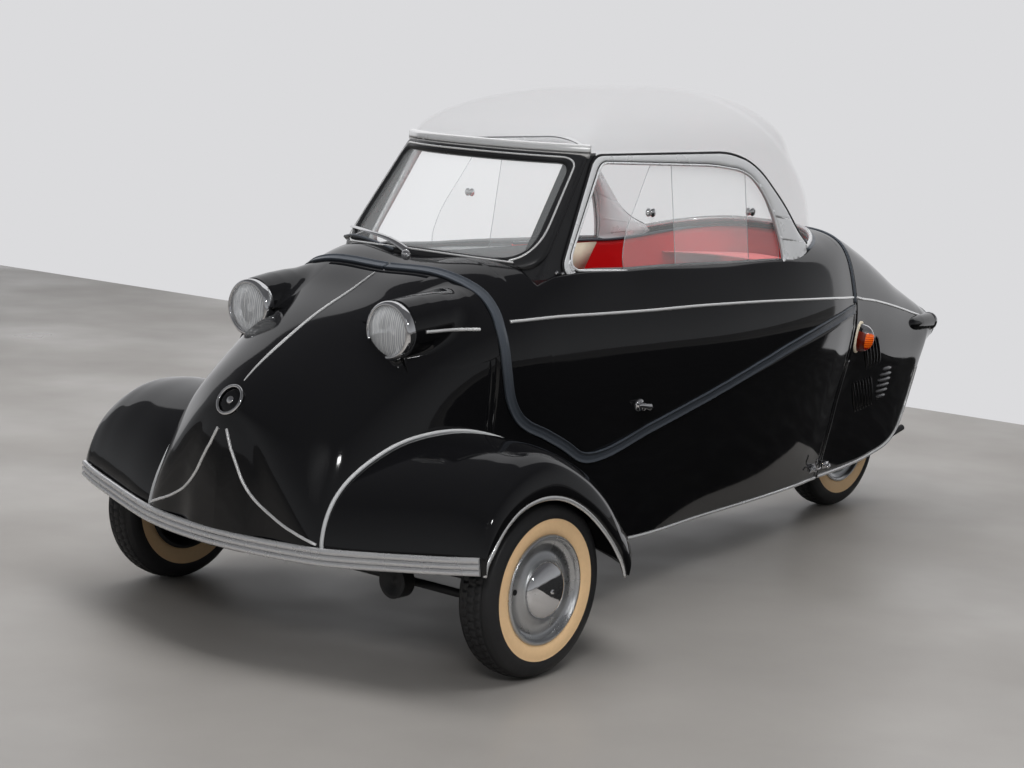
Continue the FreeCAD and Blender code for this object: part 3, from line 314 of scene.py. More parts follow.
# x, then half width and height pairs: crown height, shoulder, belt, waist, floor edge
hull = {
    "stations": np.array([
        (1406, 300, 0, 292, 0, 275, 0, 250, 0, 231),
        (1402, 372, 16, 360, 40, 318, 62, 270, 70, 231),
        (1385, 497, 45, 482, 95, 405, 122, 300, 128, 231),
        (1354, 552, 80, 530, 180, 425, 248, 300, 262, 231),
        (1300, 597, 100, 575, 215, 475, 272, 330, 280, 231),
        (1220, 648, 120, 626, 235, 535, 285, 390, 292, 231),
        (1131, 697, 140, 676, 252, 590, 296, 430, 300, 231),
        (1020, 745, 190, 724, 285, 655, 316, 470, 302, 190),
        (938, 782, 228, 763, 315, 690, 334, 480, 270, 150),
        (845, 812, 262, 785, 336, 695, 342, 440, 285, 150),
        (700, 825, 300, 788, 347, 698, 348, 400, 303, 150),
        (400, 835, 318, 776, 356, 700, 348, 370, 306, 150),
        (0, 840, 320, 768, 358, 698, 335, 360, 262, 150),
        (-300, 838, 305, 770, 340, 685, 302, 355, 232, 150),
        (-500, 835, 268, 776, 304, 673, 262, 350, 205, 150),
        (-650, 829, 214, 790, 264, 657, 222, 347, 180, 152),
        (-800, 793, 180, 752, 234, 615, 202, 345, 166, 155),
        (-950, 740, 150, 700, 207, 567, 184, 350, 158, 172),
        (-1100, 677, 125, 640, 180, 525, 162, 370, 146, 208),
        (-1220, 626, 108, 597, 158, 510, 142, 400, 118, 300),
        (-1280, 601, 98, 577, 142, 515, 130, 470, 104, 442),
        (-1350, 572, 84, 553, 118, 515, 108, 492, 80, 478),
        (-1409, 546, 50, 537, 72, 518, 66, 508, 50, 500)], float),
    "floorRow": 4, "wall": 14, "sheet": 7, "gap": 6, "cowlX": 938, "tailX": -650}
stations = hull["stations"]
lastStation, floorRow = len(stations) - 1, hull["floorRow"]
denseAt = np.linspace(0, lastStation, 1600)
denseX = through(stations[None], denseAt)[0][:, 0]


def atX(x):
    return np.interp(-np.asarray(x, float), -denseX, denseAt)


def hullPoints(at, v):
    # at counts stations from the nose, v runs 0 crown, 1 shoulder, 2 belt, 3 waist, 4 floor edge; the left half
    table = through(stations[None], at)[0]
    width = np.stack([0 * table[:, 0], table[:, 2], table[:, 4], table[:, 6], table[:, 8]], axis=1)
    height = table[:, [1, 3, 5, 7, 9]]
    section = np.stack([width, height], axis=2)
    reach = np.linalg.norm(section[:, 1] - section[:, 0], axis=1)
    level = np.stack([np.clip(width[:, 1] / np.maximum(reach, 1e-6), 0, 1), 0 * reach], axis=1)
    flat = through(section, v, level)
    return np.concatenate([np.broadcast_to(table[:, :1, None], (*flat.shape[:2], 1)), flat], axis=2)


def hullFrame(at, v, side=1):
    # points and outward normals at pairs of at and v
    at, v = np.asarray(at, float), np.asarray(v, float)
    step = 0.02
    point = hullPoints(at, v[:, None])[:, 0]
    lower, upper = np.minimum(v + step, floorRow), np.maximum(v - step, 0)
    alongV = hullPoints(at, lower[:, None])[:, 0] - hullPoints(at, upper[:, None])[:, 0]
    ahead, behind = np.minimum(at + step, lastStation), np.maximum(at - step, 0)
    alongAt = hullPoints(ahead, v[:, None])[:, 0] - hullPoints(behind, v[:, None])[:, 0]
    mirror = np.array([1, side, 1])
    return point * mirror, unit(np.cross(alongV, alongAt)) * mirror


searchV = np.linspace(0, floorRow, 241)


def sideV(x, z):
    # where the side of the body is z high: the section at x is searched from the crown down
    section = hullPoints(atX(x), searchV)[..., 2]
    below = np.argmax(section < np.asarray(z)[:, None], axis=1)
    below = np.where((section < np.asarray(z)[:, None]).any(axis=1), below, len(searchV) - 1)
    below = np.maximum(below, 1)
    rows = np.arange(len(below))
    upper, lower = section[rows, below - 1], section[rows, below]
    share = np.clip((upper - z) / np.maximum(upper - lower, 1e-6), 0, 1)
    return searchV[below - 1] + share * (searchV[1] - searchV[0])


def topV(x, y):
    # where the top of the body is y wide
    section = hullPoints(atX(x), searchV)[..., 1]
    beyond = np.maximum(np.argmax(section >= np.asarray(y)[:, None], axis=1), 1)
    rows = np.arange(len(beyond))
    inner, outer = section[rows, beyond - 1], section[rows, beyond]
    share = np.clip((y - inner) / np.maximum(outer - inner, 1e-6), 0, 1)
    return searchV[beyond - 1] + share * (searchV[1] - searchV[0])


def onSide(points, count, side=1, lift=0.0):
    # a smooth line through (x, z) points laid on the side of the body: its points and normals
    line = pathThrough(points, count)
    at = atX(line[:, 0])
    point, normal = hullFrame(at, sideV(line[:, 0], line[:, 1]), side)
    return point + normal * lift, normal


def spotOnSide(x, z, reach, side=1):
    # one place on the side of the body, and the normal there
    point, normal = onSide([(x + reach, z), (x, z), (x - reach, z)], 3, side)
    return point[1], normal[1]


def halfPanel(xs, vFrom, vTo, count):
    # grid of one half: rows at xs, columns from vFrom to vTo
    share = np.linspace(0, 1, count)
    v = vFrom[:, None] + (vTo - vFrom)[:, None] * share
    return hullPoints(atX(xs), v)


def fullPanel(at, count):
    # whole width in one grid, right floor edge over the crown to the left floor edge
    left = hullPoints(at, np.linspace(0, floorRow, count))
    return np.concatenate([bothSides(left[:, :0:-1]), left], axis=1)


# nose
noseAt = np.concatenate([np.linspace(0, 3, 46), np.linspace(3, atX(hull["cowlX"]), 60)[1:]])
bag = Bag()
bag.grid(fullPanel(noseAt, 47), flip=True)
nosePanel = bag.make("nose_panel", [blackPaint])
thicken(nosePanel, hull["sheet"])

# canopy opening, seen from the side (x, z): V-shaped on the left, straight along the belt on the right
canopy = {"front": 918, "rear": -630, "right": [(918, 700), (-630, 655)],
          "left": [(918, 690), (905, 650), (896, 590), (874, 524), (846, 489), (760, 449), (689, 416), (600, 379),
                   (379, 424), (197, 472), (4, 525), (-236, 580), (-492, 615), (-630, 629)]}


def seamV(xs, outline, gap=0):
    line = np.asarray(outline, float)
    z = np.interp(-xs, -line[:, 0], line[:, 1]) - gap
    return sideV(xs, z)


# glasshouse outline in plan, per level: height, front middle x, corner x y, side end x y, rear middle x
sideEnd, headerZ = -215, 1055
glassLevels = np.array([(700, 915, 818, 305, sideEnd, 303, -606), (765, 872, 766, 303, sideEnd, 300, -603),
                        (headerZ, 632, 552, 266, sideEnd, 262, -580)], float)
# share of the way round the plan outline at the front corner and at the end of the straight side
cornerT, sideT = 0.25, 0.6


def glassLevel(z):
    return np.stack([np.interp(z, glassLevels[:, 0], glassLevels[:, k]) for k in range(1, 7)], axis=-1)


def glassHalfWidth(x, z):
    # half width of the glasshouse at x and height z: a bow in front that is fuller than a parabola, a straight side,
    # a quarter oval behind
    front, cornerX, cornerY, sideX, sideY, rear = np.moveaxis(glassLevel(z), -1, 0)
    bow = cornerY * np.clip((front - x) / (front - cornerX), 0, 1) ** 0.4
    straight = cornerY + (sideY - cornerY) * np.clip((cornerX - x) / (cornerX - sideX), 0, 1)
    oval = sideY * np.sqrt(np.clip(1 - ((sideX - x) / (sideX - rear)) ** 2, 0, 1))
    return np.where(x > cornerX, bow, np.where(x > sideX, straight, oval))


# canopy shell: from the glasshouse foot down to the seam, closed over the cowl and behind the dome
footFront, footRear = 852, -600
bow = 0.5 - 0.5 * np.cos(np.linspace(0, np.pi, 41))
canopyXs = np.concatenate([np.linspace(canopy["front"], 870, 12)[:-1], footFront + (870 - footFront) * (1 - bow[::8]),
                           footFront - (footFront - 700) * bow[1:], np.linspace(700, -300, 56)[1:],
                           -300 - (-footRear - 300) * bow[1:], np.linspace(footRear, canopy["rear"], 6)[1:]])


def footV(xs):
    # the glasshouse foot drawn on the body
    height = np.full(len(xs), 790.0)
    for _ in range(6):
        width = glassHalfWidth(xs, height)
        v = topV(xs, np.minimum(width, 330))
        height = hullPoints(atX(xs), v[:, None])[:, 0, 2]
    return np.where((xs > footFront) | (xs < footRear), 0, v)


foot = footV(canopyXs)
bag = Bag()
for side, outline in ((1, canopy["left"]), (-1, canopy["right"])):
    half = halfPanel(canopyXs, foot, seamV(canopyXs, outline), 44)
    bag.grid(half if side > 0 else bothSides(half), flip=side > 0)
canopyPanel = bag.make("canopy_panel", [blackPaint, satinBlack])
thicken(canopyPanel, hull["wall"], inner=1)

# tub: floor and sides up to the canopy seam, with a full hoop at the cowl and one at the tail
gap = hull["gap"]
tubXs = np.linspace(canopy["front"] + gap, canopy["rear"] - gap, 140)
leftV = seamV(np.clip(tubXs, canopy["rear"], canopy["front"]), canopy["left"], gap)
rightV = seamV(np.clip(tubXs, canopy["rear"], canopy["front"]), canopy["right"], gap)
bag = Bag()
leftHalf = halfPanel(tubXs, leftV, np.full(len(tubXs), floorRow), 40)
rightHalf = bothSides(halfPanel(tubXs, rightV, np.full(len(tubXs), floorRow), 40))
bag.grid(np.concatenate([leftHalf, rightHalf[:, ::-1]], axis=1), flip=True)
for start, end in ((hull["cowlX"], canopy["front"] + gap), (canopy["rear"] - gap, hull["tailX"])):
    hoop = fullPanel(atX(np.linspace(start, end, 4)), 47)
    bag.grid(hoop, flip=True)
    bag.grid(np.stack([hoop[:, 0], hoop[:, -1]], axis=1))
tubPanel = bag.make("tub_panel", [blackPaint, satinBlack])
thicken(tubPanel, hull["wall"], inner=1)

# tail cover
tailAt = np.linspace(atX(hull["tailX"] - 4), lastStation, 96)
bag = Bag()
tailGrid = fullPanel(tailAt, 46)
bag.grid(tailGrid, flip=True)
tip = tailGrid[-1]
bag.grid(np.stack([tip[:46], tip[45:][::-1]], axis=0), flip=True)
tailPanel = bag.make("tail_panel", [blackPaint])
thicken(tailPanel, hull["sheet"])
print("body panels made")

# front fenders: side-view profiles from the nose outwards, y, front x, crest z, rear x, rear z
fender = {
    "rows": np.array([(240, 1354, 470, 560, 262, 233), (330, 1334, 482, 585, 255, 235), (430, 1304, 486, 630, 246, 242),
                      (520, 1276, 483, 680, 236, 250), (570, 1260, 472, 716, 226, 255), (597, 1250, 452, 748, 214, 259),
                      (607, 1244, 420, 762, 204, 261)], float),
    "strip": 38, "lowRear": 186, "crestX": 1042,
    "arch": np.array([(1238, 262), (1237, 276), (1218, 300), (1150, 366), (1070, 388), (1000, 380), (943, 355),
                      (860, 293), (813, 243), (782, 190)], float), "archY": 601,
    "outerY": 607.5}


def fenderProfile(row):
    # side view of one slice: up the front edge, over the crest and down to the rear foot
    y, front, crest, rear, rearZ, low = row
    top, rise = low + fender["strip"], crest - low
    crestX = fender["crestX"]
    xz = [(front, low), (front - 1, top), (front - 0.17 * (front - crestX), low + 0.62 * rise),
          (front - 0.52 * (front - crestX), low + 0.9 * rise), (crestX, crest),
          (crestX - 0.42 * (crestX - rear), rearZ + 0.8 * (crest - rearZ)),
          (crestX - 0.66 * (crestX - rear), rearZ + 0.57 * (crest - rearZ)),
          (crestX - 0.86 * (crestX - rear), rearZ + 0.28 * (crest - rearZ)), (rear, rearZ),
          (rear + 6, fender["lowRear"])]
    return [(x, y, z) for x, z in xz]


def fenderGrid(alongCount=90, acrossCount=56):
    # slices from the nose outwards, then down the outer face to the edge of the wheel arch
    slices = [fenderProfile(row) for row in fender["rows"]]
    arch = [(x, fender["archY"], z) for x, z in fender["arch"]]
    middle = [(a[0] * 0.45 + b[0] * 0.55, fender["outerY"], a[2] * 0.45 + b[2] * 0.55)
              for a, b in zip(slices[-1], arch)]
    slices += [middle, arch]
    along = np.linspace(0, 9, alongCount)
    curves = through(np.array(slices, float), along)
    across = np.linspace(0, len(slices) - 1, acrossCount)
    return through(np.swapaxes(curves, 0, 1), across)


fenderLeft = fenderGrid()
for side, label in ((1, "left"), (-1, "right")):
    bag = Bag()
    bag.grid(fenderLeft if side > 0 else bothSides(fenderLeft), flip=side > 0)
    panel = bag.make("fender_panel_" + label, [blackPaint])
    thicken(panel, hull["sheet"])
    place(panel, "chassis", "body_paint", "fender_" + label)

place(nosePanel, "chassis", "body_paint", "nose")
place(canopyPanel, "canopy", "body_paint", "canopy_shell")
place(tubPanel, "chassis", "body_paint", "tub")
place(tailPanel, "tail", "body_paint", "tail_cover")
print("fenders made")

# bumper strip: three ribs on a band carried round the front, with a kink where the nose meets each fender
strip = {"plan": [(1252, 599.5), (1275, 540), (1307, 436), (1357, 268)], "nose": 1401, "height": 37, "base": 3.2,
         "rib": 5.2,
         "middle": 250, "lift": 29}


def stripPath():
    side = pathThrough(strip["plan"], 60)
    bend = side[-1]
    turn = np.linspace(1, -1, 80)[1:-1]
    front = np.stack([strip["nose"] - (strip["nose"] - bend[0]) * turn ** 2, bend[1] * turn], axis=1)
    plan = np.concatenate([side, front, (side * [1, -1])[::-1]])[::-1]
    # z = middle + lift * ((|y| - 267) / 340) ^ 1.2 beyond the kinks
    share = np.clip((np.abs(plan[:, 1]) - 267) / 340, 0, 1)
    return np.column_stack([plan, strip["middle"] + strip["lift"] * share ** 1.2])


# outer face height above the band: three equal half-round ribs
rise = np.linspace(-1, 1, 43)
ribPhase = (rise + 1) * 1.5 % 1 * 2 - 1
face = strip["base"] + strip["rib"] * np.sqrt(np.clip(1 - ribPhase ** 2, 0, 1))
ribProfile = np.column_stack([face, rise * strip["height"] / 2])
ribProfile = np.concatenate([ribProfile, [[0, strip["height"] / 2], [0, -strip["height"] / 2]]])
bag = Bag()
bag.tube(carry(stripPath(), (0, 0, 1), ribProfile), flip=True)
bumper = bag.make("bumper_strip_ribbed", [aluminium], smooth=False)
place(bumper, "chassis", "bright_strip", "bumper_strip")

# headlamp pods: in each slice the round hood and the nose melt together, as the zero line of a smooth minimum
pod = {"front": 1110, "back": 876, "middleY": 211, "middleZ": 689, "spreadY": 14, "riseZ": 20, "blendFrom": 5,
       "blendTo": 22,
       "radius": [(876, 44), (938, 58), (1000, 62.5), (1050, 63.5), (1090, 62), (1110, 60.5)], "lampX": 1131,
       "disc": (0.02, 0.5, 0.98)}


def podMiddle(x):
    # the hood's middle drifts outwards and upwards from the lamp to the cowl
    share = (pod["lampX"] - x) / (pod["lampX"] - hull["cowlX"])
    return pod["middleY"] + pod["spreadY"] * share, pod["middleZ"] + pod["riseZ"] * share


def podRow(x, section, radius, blend, feet, columns):
    # f = smooth minimum of |p - middle| - radius and the signed distance to the nose's section
    middle = np.array(podMiddle(x))
    start = middle - [8, 0.72 * radius]
    first, last = (np.arctan2(*(foot - start)[::-1]) for foot in feet)
    angle = np.linspace(first if first > -1.6 else first + 2 * np.pi, last, columns)
    ray = np.stack([np.cos(angle), np.sin(angle)], axis=1)
    reach = np.linspace(0, 3.4 * radius, 110)
    points = start + ray[:, None] * reach[None, :, None]
    tangent = unit(np.gradient(section, axis=0))
    normal = np.stack([-tangent[:, 1], tangent[:, 0]], axis=1)
    apart = points[:, :, None] - section
    nearest = np.argmin((apart ** 2).sum(axis=3), axis=2)
    nose = (np.take_along_axis(apart, nearest[..., None, None], axis=2)[:, :, 0] * normal[nearest]).sum(axis=2)
    hood = np.linalg.norm(points - middle, axis=2) - radius
    mixed = np.clip(0.5 + 0.5 * (nose - hood) / blend, 0, 1)
    level = nose * (1 - mixed) + hood * mixed - blend * mixed * (1 - mixed)
    outside = np.argmax(level > 0, axis=1)
    outside = np.where(outside == 0, len(reach) - 1, outside)
    rows = np.arange(columns)
    before, after = level[rows, outside - 1], level[rows, outside]
    length = reach[outside - 1] + (reach[1] - reach[0]) * np.clip(-before / np.maximum(after - before, 1e-6), 0, 1)
    return np.column_stack([np.full(columns, x), start + ray * length[:, None] + ray * 0.35])


def podGrid(rows=64, columns=64):
    x = np.linspace(pod["front"], pod["back"], rows)
    knots = np.array(pod["radius"], float)
    radius = np.interp(x, knots[:, 0], knots[:, 1])
    blend = np.interp(x, [pod["front"] - 60, pod["front"]], [pod["blendTo"], pod["blendFrom"]])
    at = atX(x)
    middleY, middleZ = podMiddle(x)
    innerV, outerV = topV(x, middleY - 1.7 * radius), sideV(x, middleZ - 1.75 * radius)
    sections = hullPoints(at, np.linspace(0, 2.6, 150))[..., 1:]
    feet = hullPoints(at, np.stack([innerV, outerV], axis=1))[..., 1:]
    ring = np.stack([podRow(x[k], sections[k], radius[k], blend[k], feet[k], columns) for k in range(rows)])
    # towards its border the skin sinks under the nose: depth = 3 * nearness ^ 2
    across, back = np.linspace(-1, 1, columns), np.linspace(0, 1, rows)
    near = np.maximum(np.clip((np.abs(across)[None] - 0.84) / 0.16, 0, 1), np.clip((back[:, None] - 0.86) / 0.14, 0, 1))
    heart = np.stack([x, middleY - 8, middleZ - 0.72 * radius], axis=1)[:, None]
    ring = ring - unit((ring - heart) * [0, 1, 1]) * (3 * near ** 2)[..., None]
    # the front is closed by a round disc behind the lamp
    middle = np.array([pod["front"] - 3, middleY[0], middleZ[0]])
    spoke = (ring[0] - middle) * [0, 1, 1]
    spoke = unit(spoke) * np.minimum(np.linalg.norm(spoke, axis=1), 60)[:, None]
    return np.concatenate([np.stack([middle + spoke * scale for scale in pod["disc"]]), ring])


podLeft = podGrid()
bag = Bag()
bag.grid(podLeft, flip=True)
bag.grid(bothSides(podLeft))
pods = bag.make("lamp_pods", [blackPaint])
place(pods, "chassis", "body_paint")

# headlamps: bezel, bowl, bulb and a fluted glass, all turned about the x axis
lamp = {"x": 1118, "y": 211, "z": 688,
        "bezel": [(55, -15), (61, -15), (62.6, -11), (63.2, -4), (63.6, 2), (62.6, 8), (59.5, 12), (55.5, 13.5),
                  (53, 11.5), (52.5, 6), (52.5, 2)],
        "bowl": [(53, 3), (46, -8), (34, -20), (20, -28), (8, -31), (0, -31)],
        "glass": [(52.6, 8), (47, 12), (36, 16.5), (22, 19.5), (10, 20.6), (0, 21)],
        "flute": 7.0, "fluteDepth": 0.5}
bag, glassBag = Bag(), Bag()
for side in (1, -1):
    middle = (lamp["x"], side * lamp["y"], lamp["z"])
    bag.spin(middle, (1, 0, 0), lamp["bezel"])
    bag.spin(middle, (1, 0, 0), lamp["bowl"], slot=1)
    bulb = [(0, -4), (4, -5), (6.5, -9), (6.5, -16), (4, -22), (4, -31)]
    bag.spin(middle, (1, 0, 0), bulb, 20, slot=2)
    shield = lathe(middle, (1, 0, 0), [(0, 2), (11, 0), (13, -5), (12.5, -5.5), (0, -1)], 32)
    bag.grid(shield, 0, wrapRows=True)
    dense = pathThrough(lamp["glass"], 26)
    glass = lathe(middle, (1, 0, 0), dense, 120)
    # flutes: x + depth * cos(2 pi (y - middle) / pitch), except along the rim
    wave = np.cos((glass[..., 1] - side * lamp["y"]) * 2 * np.pi / lamp["flute"])
    glass[..., 0] += lamp["fluteDepth"] * wave * (np.linspace(0, 1, 26) > 0.03)
    glassBag.grid(glass, 0, wrapRows=True)
lamps = bag.make("headlamp_shells", [chrome, reflector, lampGlass])
place(lamps, "chassis", "chrome", "headlamps")
place(glassBag.make("headlamp_glasses", [lampGlass]), "chassis", "clear_pane")

# bright trims on the nose: half-round beads that lie on the surface


def beadProfile(width, height, sides=10):
    turn = np.linspace(0, np.pi, sides)
    arc = np.column_stack([width / 2 * np.cos(turn), height * np.sin(turn)])
    return np.concatenate([arc, [[-width / 2, -1.0], [width / 2, -1.0]]])


def trimOnSide(bag, points, count, side, width, height, slot=0, lift=0.0):
    path, normal = onSide(points, count, side, lift)
    bag.tube(carry(path, normal, beadProfile(width, height)), slot)


bag = Bag()
veeLeft = [(1388, 11, 482), (1393, 28, 447), (1395, 51, 409), (1394, 76, 368), (1388, 108, 338), (1379, 159, 309),
           (1369, 214, 287), (1354, 254, 271)]
vee = pathThrough(veeLeft, 90)


def nearestOnHull(points, side=1):
    # the surface point nearest to each given one, out of a fine net over the nose
    netAt, netV = np.linspace(0, 9, 500), np.linspace(0, 4, 260)
    net = hullPoints(netAt, netV)
    found = np.array([np.argmin(((net - target) ** 2).sum(axis=2)) for target in points])
    at, v = netAt[found // len(netV)], netV[found % len(netV)]
    smooth = np.ones(9) / 9
    padded = [np.concatenate([np.full(4, row[0]), row, np.full(4, row[-1])]) for row in (at, v)]
    at, v = (np.convolve(row, smooth, "valid") for row in padded)
    return hullFrame(at, v, side)


for side in (1, -1):
    path, normal = nearestOnHull(vee, side)
    bag.tube(carry(path, normal, beadProfile(6.5, 4)))
spineXs = np.linspace(1332, 948, 80)
spinePath, spineNormal = hullFrame(atX(spineXs), np.zeros(80))
share = np.linspace(0, 1, 80)[:, None, None]
spine = carry(spinePath, np.array([[0, 0, 1.0]]) + spineNormal * 0.001, beadProfile(1, 1))
halfWidth = 1.2 + 7.5 * np.minimum(share / 0.25, (1 - share) / 0.75) ** 0.8
stretch = np.concatenate([np.ones_like(halfWidth), halfWidth, np.full_like(halfWidth, 3.5)], axis=2)
bag.tube(spinePath[:, None] + (spine - spinePath[:, None]) * stretch)
place(bag.make("nose_trims", [brightTrim]), "chassis", "chrome")

# badge: a plain ring round a small plain boss
badge = {"x": 1366, "z": 533, "ring": 31.5, "wire": 3.4, "boss": 9}
middle, outward = np.array([badge["x"], 0, badge["z"]]), unit(np.array([0.86, 0, 0.52]))
middle = middle + outward * 3
bag = Bag()
turn = np.linspace(0, 2 * np.pi, 17)[:-1]
ringProfile = np.column_stack([badge["ring"] + badge["wire"] * np.cos(turn), 3 + badge["wire"] * np.sin(turn)])
bag.grid(lathe(middle, outward, ringProfile, 72), 0, wrapRows=True, wrapColumns=True)
bag.spin(middle, outward, [(badge["ring"], -2), (badge["ring"], 0.5), (badge["ring"] * 0.6, 1.2), (0, 1.6)], 72, slot=1)
bag.spin(middle, outward, [(badge["boss"], 0), (badge["boss"], 3), (badge["boss"] * 0.7, 5), (0, 6)], 40)
place(bag.make("nose_badge", [chrome, blackPaint]), "chassis", "chrome")
print("nose dressed")

# wheels: profiles are (radius, distance from the inner side of the tyre)
wheel = {"width": 98, "radius": 190, "blocks": 62, "depth": 4.2, "tanTo": 152.5,
         "places": [("front_left", 1020, 540, 1), ("front_right", 1020, -540, -1), ("rear", -1010, 0, 1)],
         "tyre": [(113, 14), (116, 9), (126, 5.5), (140, 4), (151, 4.6), (153, 3.4), (160, 4), (170, 6.5), (178, 11),
                  (183.5, 17), (186.8, 24), (189, 36), (190, 49)],
         "rimOut": [(96, 74), (104, 84), (107, 90), (110.5, 93.5), (115, 92), (116.5, 87), (113, 84)],
         "disc": [(104, 84), (99, 80.5), (88, 78.5), (76, 79.5), (68, 83), (63, 86), (61, 88.5)],
         "cap": [(61, 88), (60, 92), (55, 97.5), (45, 103), (30, 107.5), (14, 109.6), (0, 110)],
         "back": [(113, 14), (116.5, 11), (115, 6), (110.5, 4.5), (107, 8), (104, 14), (97, 24), (96, 66), (84, 72),
                  (60, 70), (40, 66), (30, 60), (30, 21), (13, 20)]}


def tyreGrid(around=62 * 6):
    half = np.array(wheel["tyre"], float)
    full = np.concatenate([half, (half * [1, -1] + [0, wheel["width"]])[-2::-1]])
    profile = pathThrough(full, 96)
    profile = profile[(profile[:, 0] > 179) | (np.arange(96) % 3 == 0) | (np.arange(96) == 95)]
    turn = np.linspace(0, 2 * np.pi, around, endpoint=False)[:, None]
    away = profile[None, :, 1] - wheel["width"] / 2
    pitch = 2 * np.pi / wheel["blocks"]
    wave = 1.6 * np.sin(turn / pitch * 2 * np.pi)

    def groove(distance, width):
        return np.clip(1.6 - np.abs(distance) / width, 0, 1)
    # two waved rings 9.5 mm off the middle and two straight ones at 25 mm, cuts across between them, two shoulder lines
    apart, inner, outer = np.abs(away), 9.5, 25
    rings = np.maximum(groove(apart - inner + wave * np.sign(away), 1.6), groove(apart - outer + 0 * turn, 1.4))
    step = np.where(apart < inner, 0.5, 0.0)
    bowed = turn / pitch + step + 0.012 * (apart - 17)
    slot = (bowed + 0.5) % 1 - 0.5
    cuts = groove(slot, 0.06) * (apart < outer)
    shoulder = 0.35 * groove(apart - 31, 1.0) + 0.3 * groove(apart - 34.5, 0.9)
    depth = wheel["depth"] * np.maximum(np.maximum(rings, cuts), shoulder) * (profile[None, :, 0] > 180)
    radius = profile[None, :, 0] - depth
    return turn, radius, np.broadcast_to(profile[None, :, 1], radius.shape), profile


def turned(centre, side, turn, radius, along):
    # wheel coordinates to the car's: the axle lies along y and the outer side faces the given side
    middle = wheel["width"] / 2
    x, z = centre[0] + radius * np.cos(turn), centre[2] + radius * np.sin(turn)
    return np.stack([x, centre[1] + side * (along - middle), z], axis=2)


def ringMesh(bag, centre, side, profile, slot, sides=96):
    rows = np.array(profile, float)
    turn = np.linspace(0, 2 * np.pi, sides, endpoint=False)[:, None]
    radius, along = (np.broadcast_to(rows[None, :, k], (sides, len(rows))) for k in (0, 1))
    bag.grid(turned(centre, side, turn, radius, along), slot, flip=side < 0, wrapRows=True)


for label, x, y, side in wheel["places"]:
    centre = (x, y, wheel["radius"])
    turn, radius, along, profile = tyreGrid()
    bag = Bag()
    points = turned(centre, side, turn, radius, along)
    middleRadius = (profile[:-1, 0] + profile[1:, 0]) / 2
    tan = (middleRadius < wheel["tanTo"]).astype(int)
    bag.grid(points, np.tile(tan, len(turn)), flip=side < 0, wrapRows=True)
    ringMesh(bag, centre, side, [(113, 84), (104, 84), (104, 14), (113, 14)], 0, len(turn))
    tyre = bag.make("tyre_shaped_" + label, [tyreBlack, tanWall])
    place(tyre, "wheel_" + label, "tyre", "tyre_" + label)
    bag = Bag()
    ringMesh(bag, centre, side, pathThrough(wheel["disc"] + [(61, 88.5)], 30)[::-1], 0)
    ringMesh(bag, centre, side, pathThrough(wheel["rimOut"], 40)[::-1], 0)
    if label == "rear":
        ringMesh(bag, centre, side, [(13, 20), (13, 78), (30, 78), (34, 72), (61, 74), (61, 88.5)], 2)
    else:
        ringMesh(bag, centre, side, pathThrough(wheel["cap"], 40)[::-1], 1)
    ringMesh(bag, centre, side, wheel["back"], 2)
    rimPiece = bag.make("rim_shaped_" + label, [wheelSilver, chrome, satinBlack])
    place(rimPiece, "wheel_" + label, "wheel_silver", "rim_" + label)
    bag = Bag()
    outer = y + side * (79.5 - 49)
    # valve hole: a black disc, painted shade
    bag.spin((x + 84, outer, 196), (0, side, 0), [(0, 1.2), (5, 1.2), (6, 0.4), (6.4, -2)], 24, slot=1)
    if label != "rear":
        nutY = y + side * (109.5 - 49)
        bag.spin((x, nutY, wheel["radius"]), (0, side, 0), [(5, -1), (5, 2.5), (3.5, 3.5), (0, 4)], 6)
    nut = bag.make("wheel_nut_" + label, [chrome, holeShade], smooth=False)
    place(nut, "wheel_" + label, "chrome")
print("wheels made")

# glasshouse: the windscreen is a point at (share of the half width, z), a side is a point at (x, z)
glassShape = {"bulge": 2.5, "crownX": -20, "roofRise": 145, "bowFrom": 880, "pane": 4, "dome": 4}


def screenPoint(share, z):
    # x = front - (front - corner x) |share| ^ bulge, y = corner y * share
    front, cornerX, cornerY = np.moveaxis(glassLevel(z), -1, 0)[:3]
    x = front - (front - cornerX) * np.abs(share) ** glassShape["bulge"]
    return np.stack([x, cornerY * share, z + 0 * share], axis=-1)


def sidePoint(x, z):
    return np.stack([x, glassHalfWidth(x, z), z + 0 * x], axis=-1)


def planPoint(t, z):
    # t runs 0 front middle, cornerT front corner, sideT end of the straight side, 1 rear middle
    front, cornerX, cornerY, sideX, sideY, rear = np.moveaxis(glassLevel(z), -1, 0)
    bowShare = np.clip(t / cornerT, 0, 1)
    straight = np.clip((t - cornerT) / (sideT - cornerT), 0, 1)
    angle = np.clip((t - sideT) / (1 - sideT), 0, 1) * np.pi / 2
    ahead, beside = t <= cornerT, t <= sideT
    x = np.where(ahead, front - (front - cornerX) * bowShare ** glassShape["bulge"],
                 np.where(beside, cornerX + (sideX - cornerX) * straight, sideX + (rear - sideX) * np.sin(angle)))
    y = np.where(ahead, cornerY * bowShare,
                 np.where(beside, cornerY + (sideY - cornerY) * straight, sideY * np.cos(angle)))
    return x, y


def withNormal(shape, a, b, stepA, stepB):
    # the point and the outward normal, out of the slopes in both directions
    slopeA = shape(a + stepA, b) - shape(a - stepA, b)
    slopeB = shape(a, b + stepB) - shape(a, b - stepB)
    return shape(a, b), unit(np.cross(slopeA, slopeB))


def onGlass(shape, a, b):
    point, normal = withNormal(shape, a, b, 0.004 if shape is screenPoint else 1.0, 1.0)
    return point, normal if shape is screenPoint else -normal


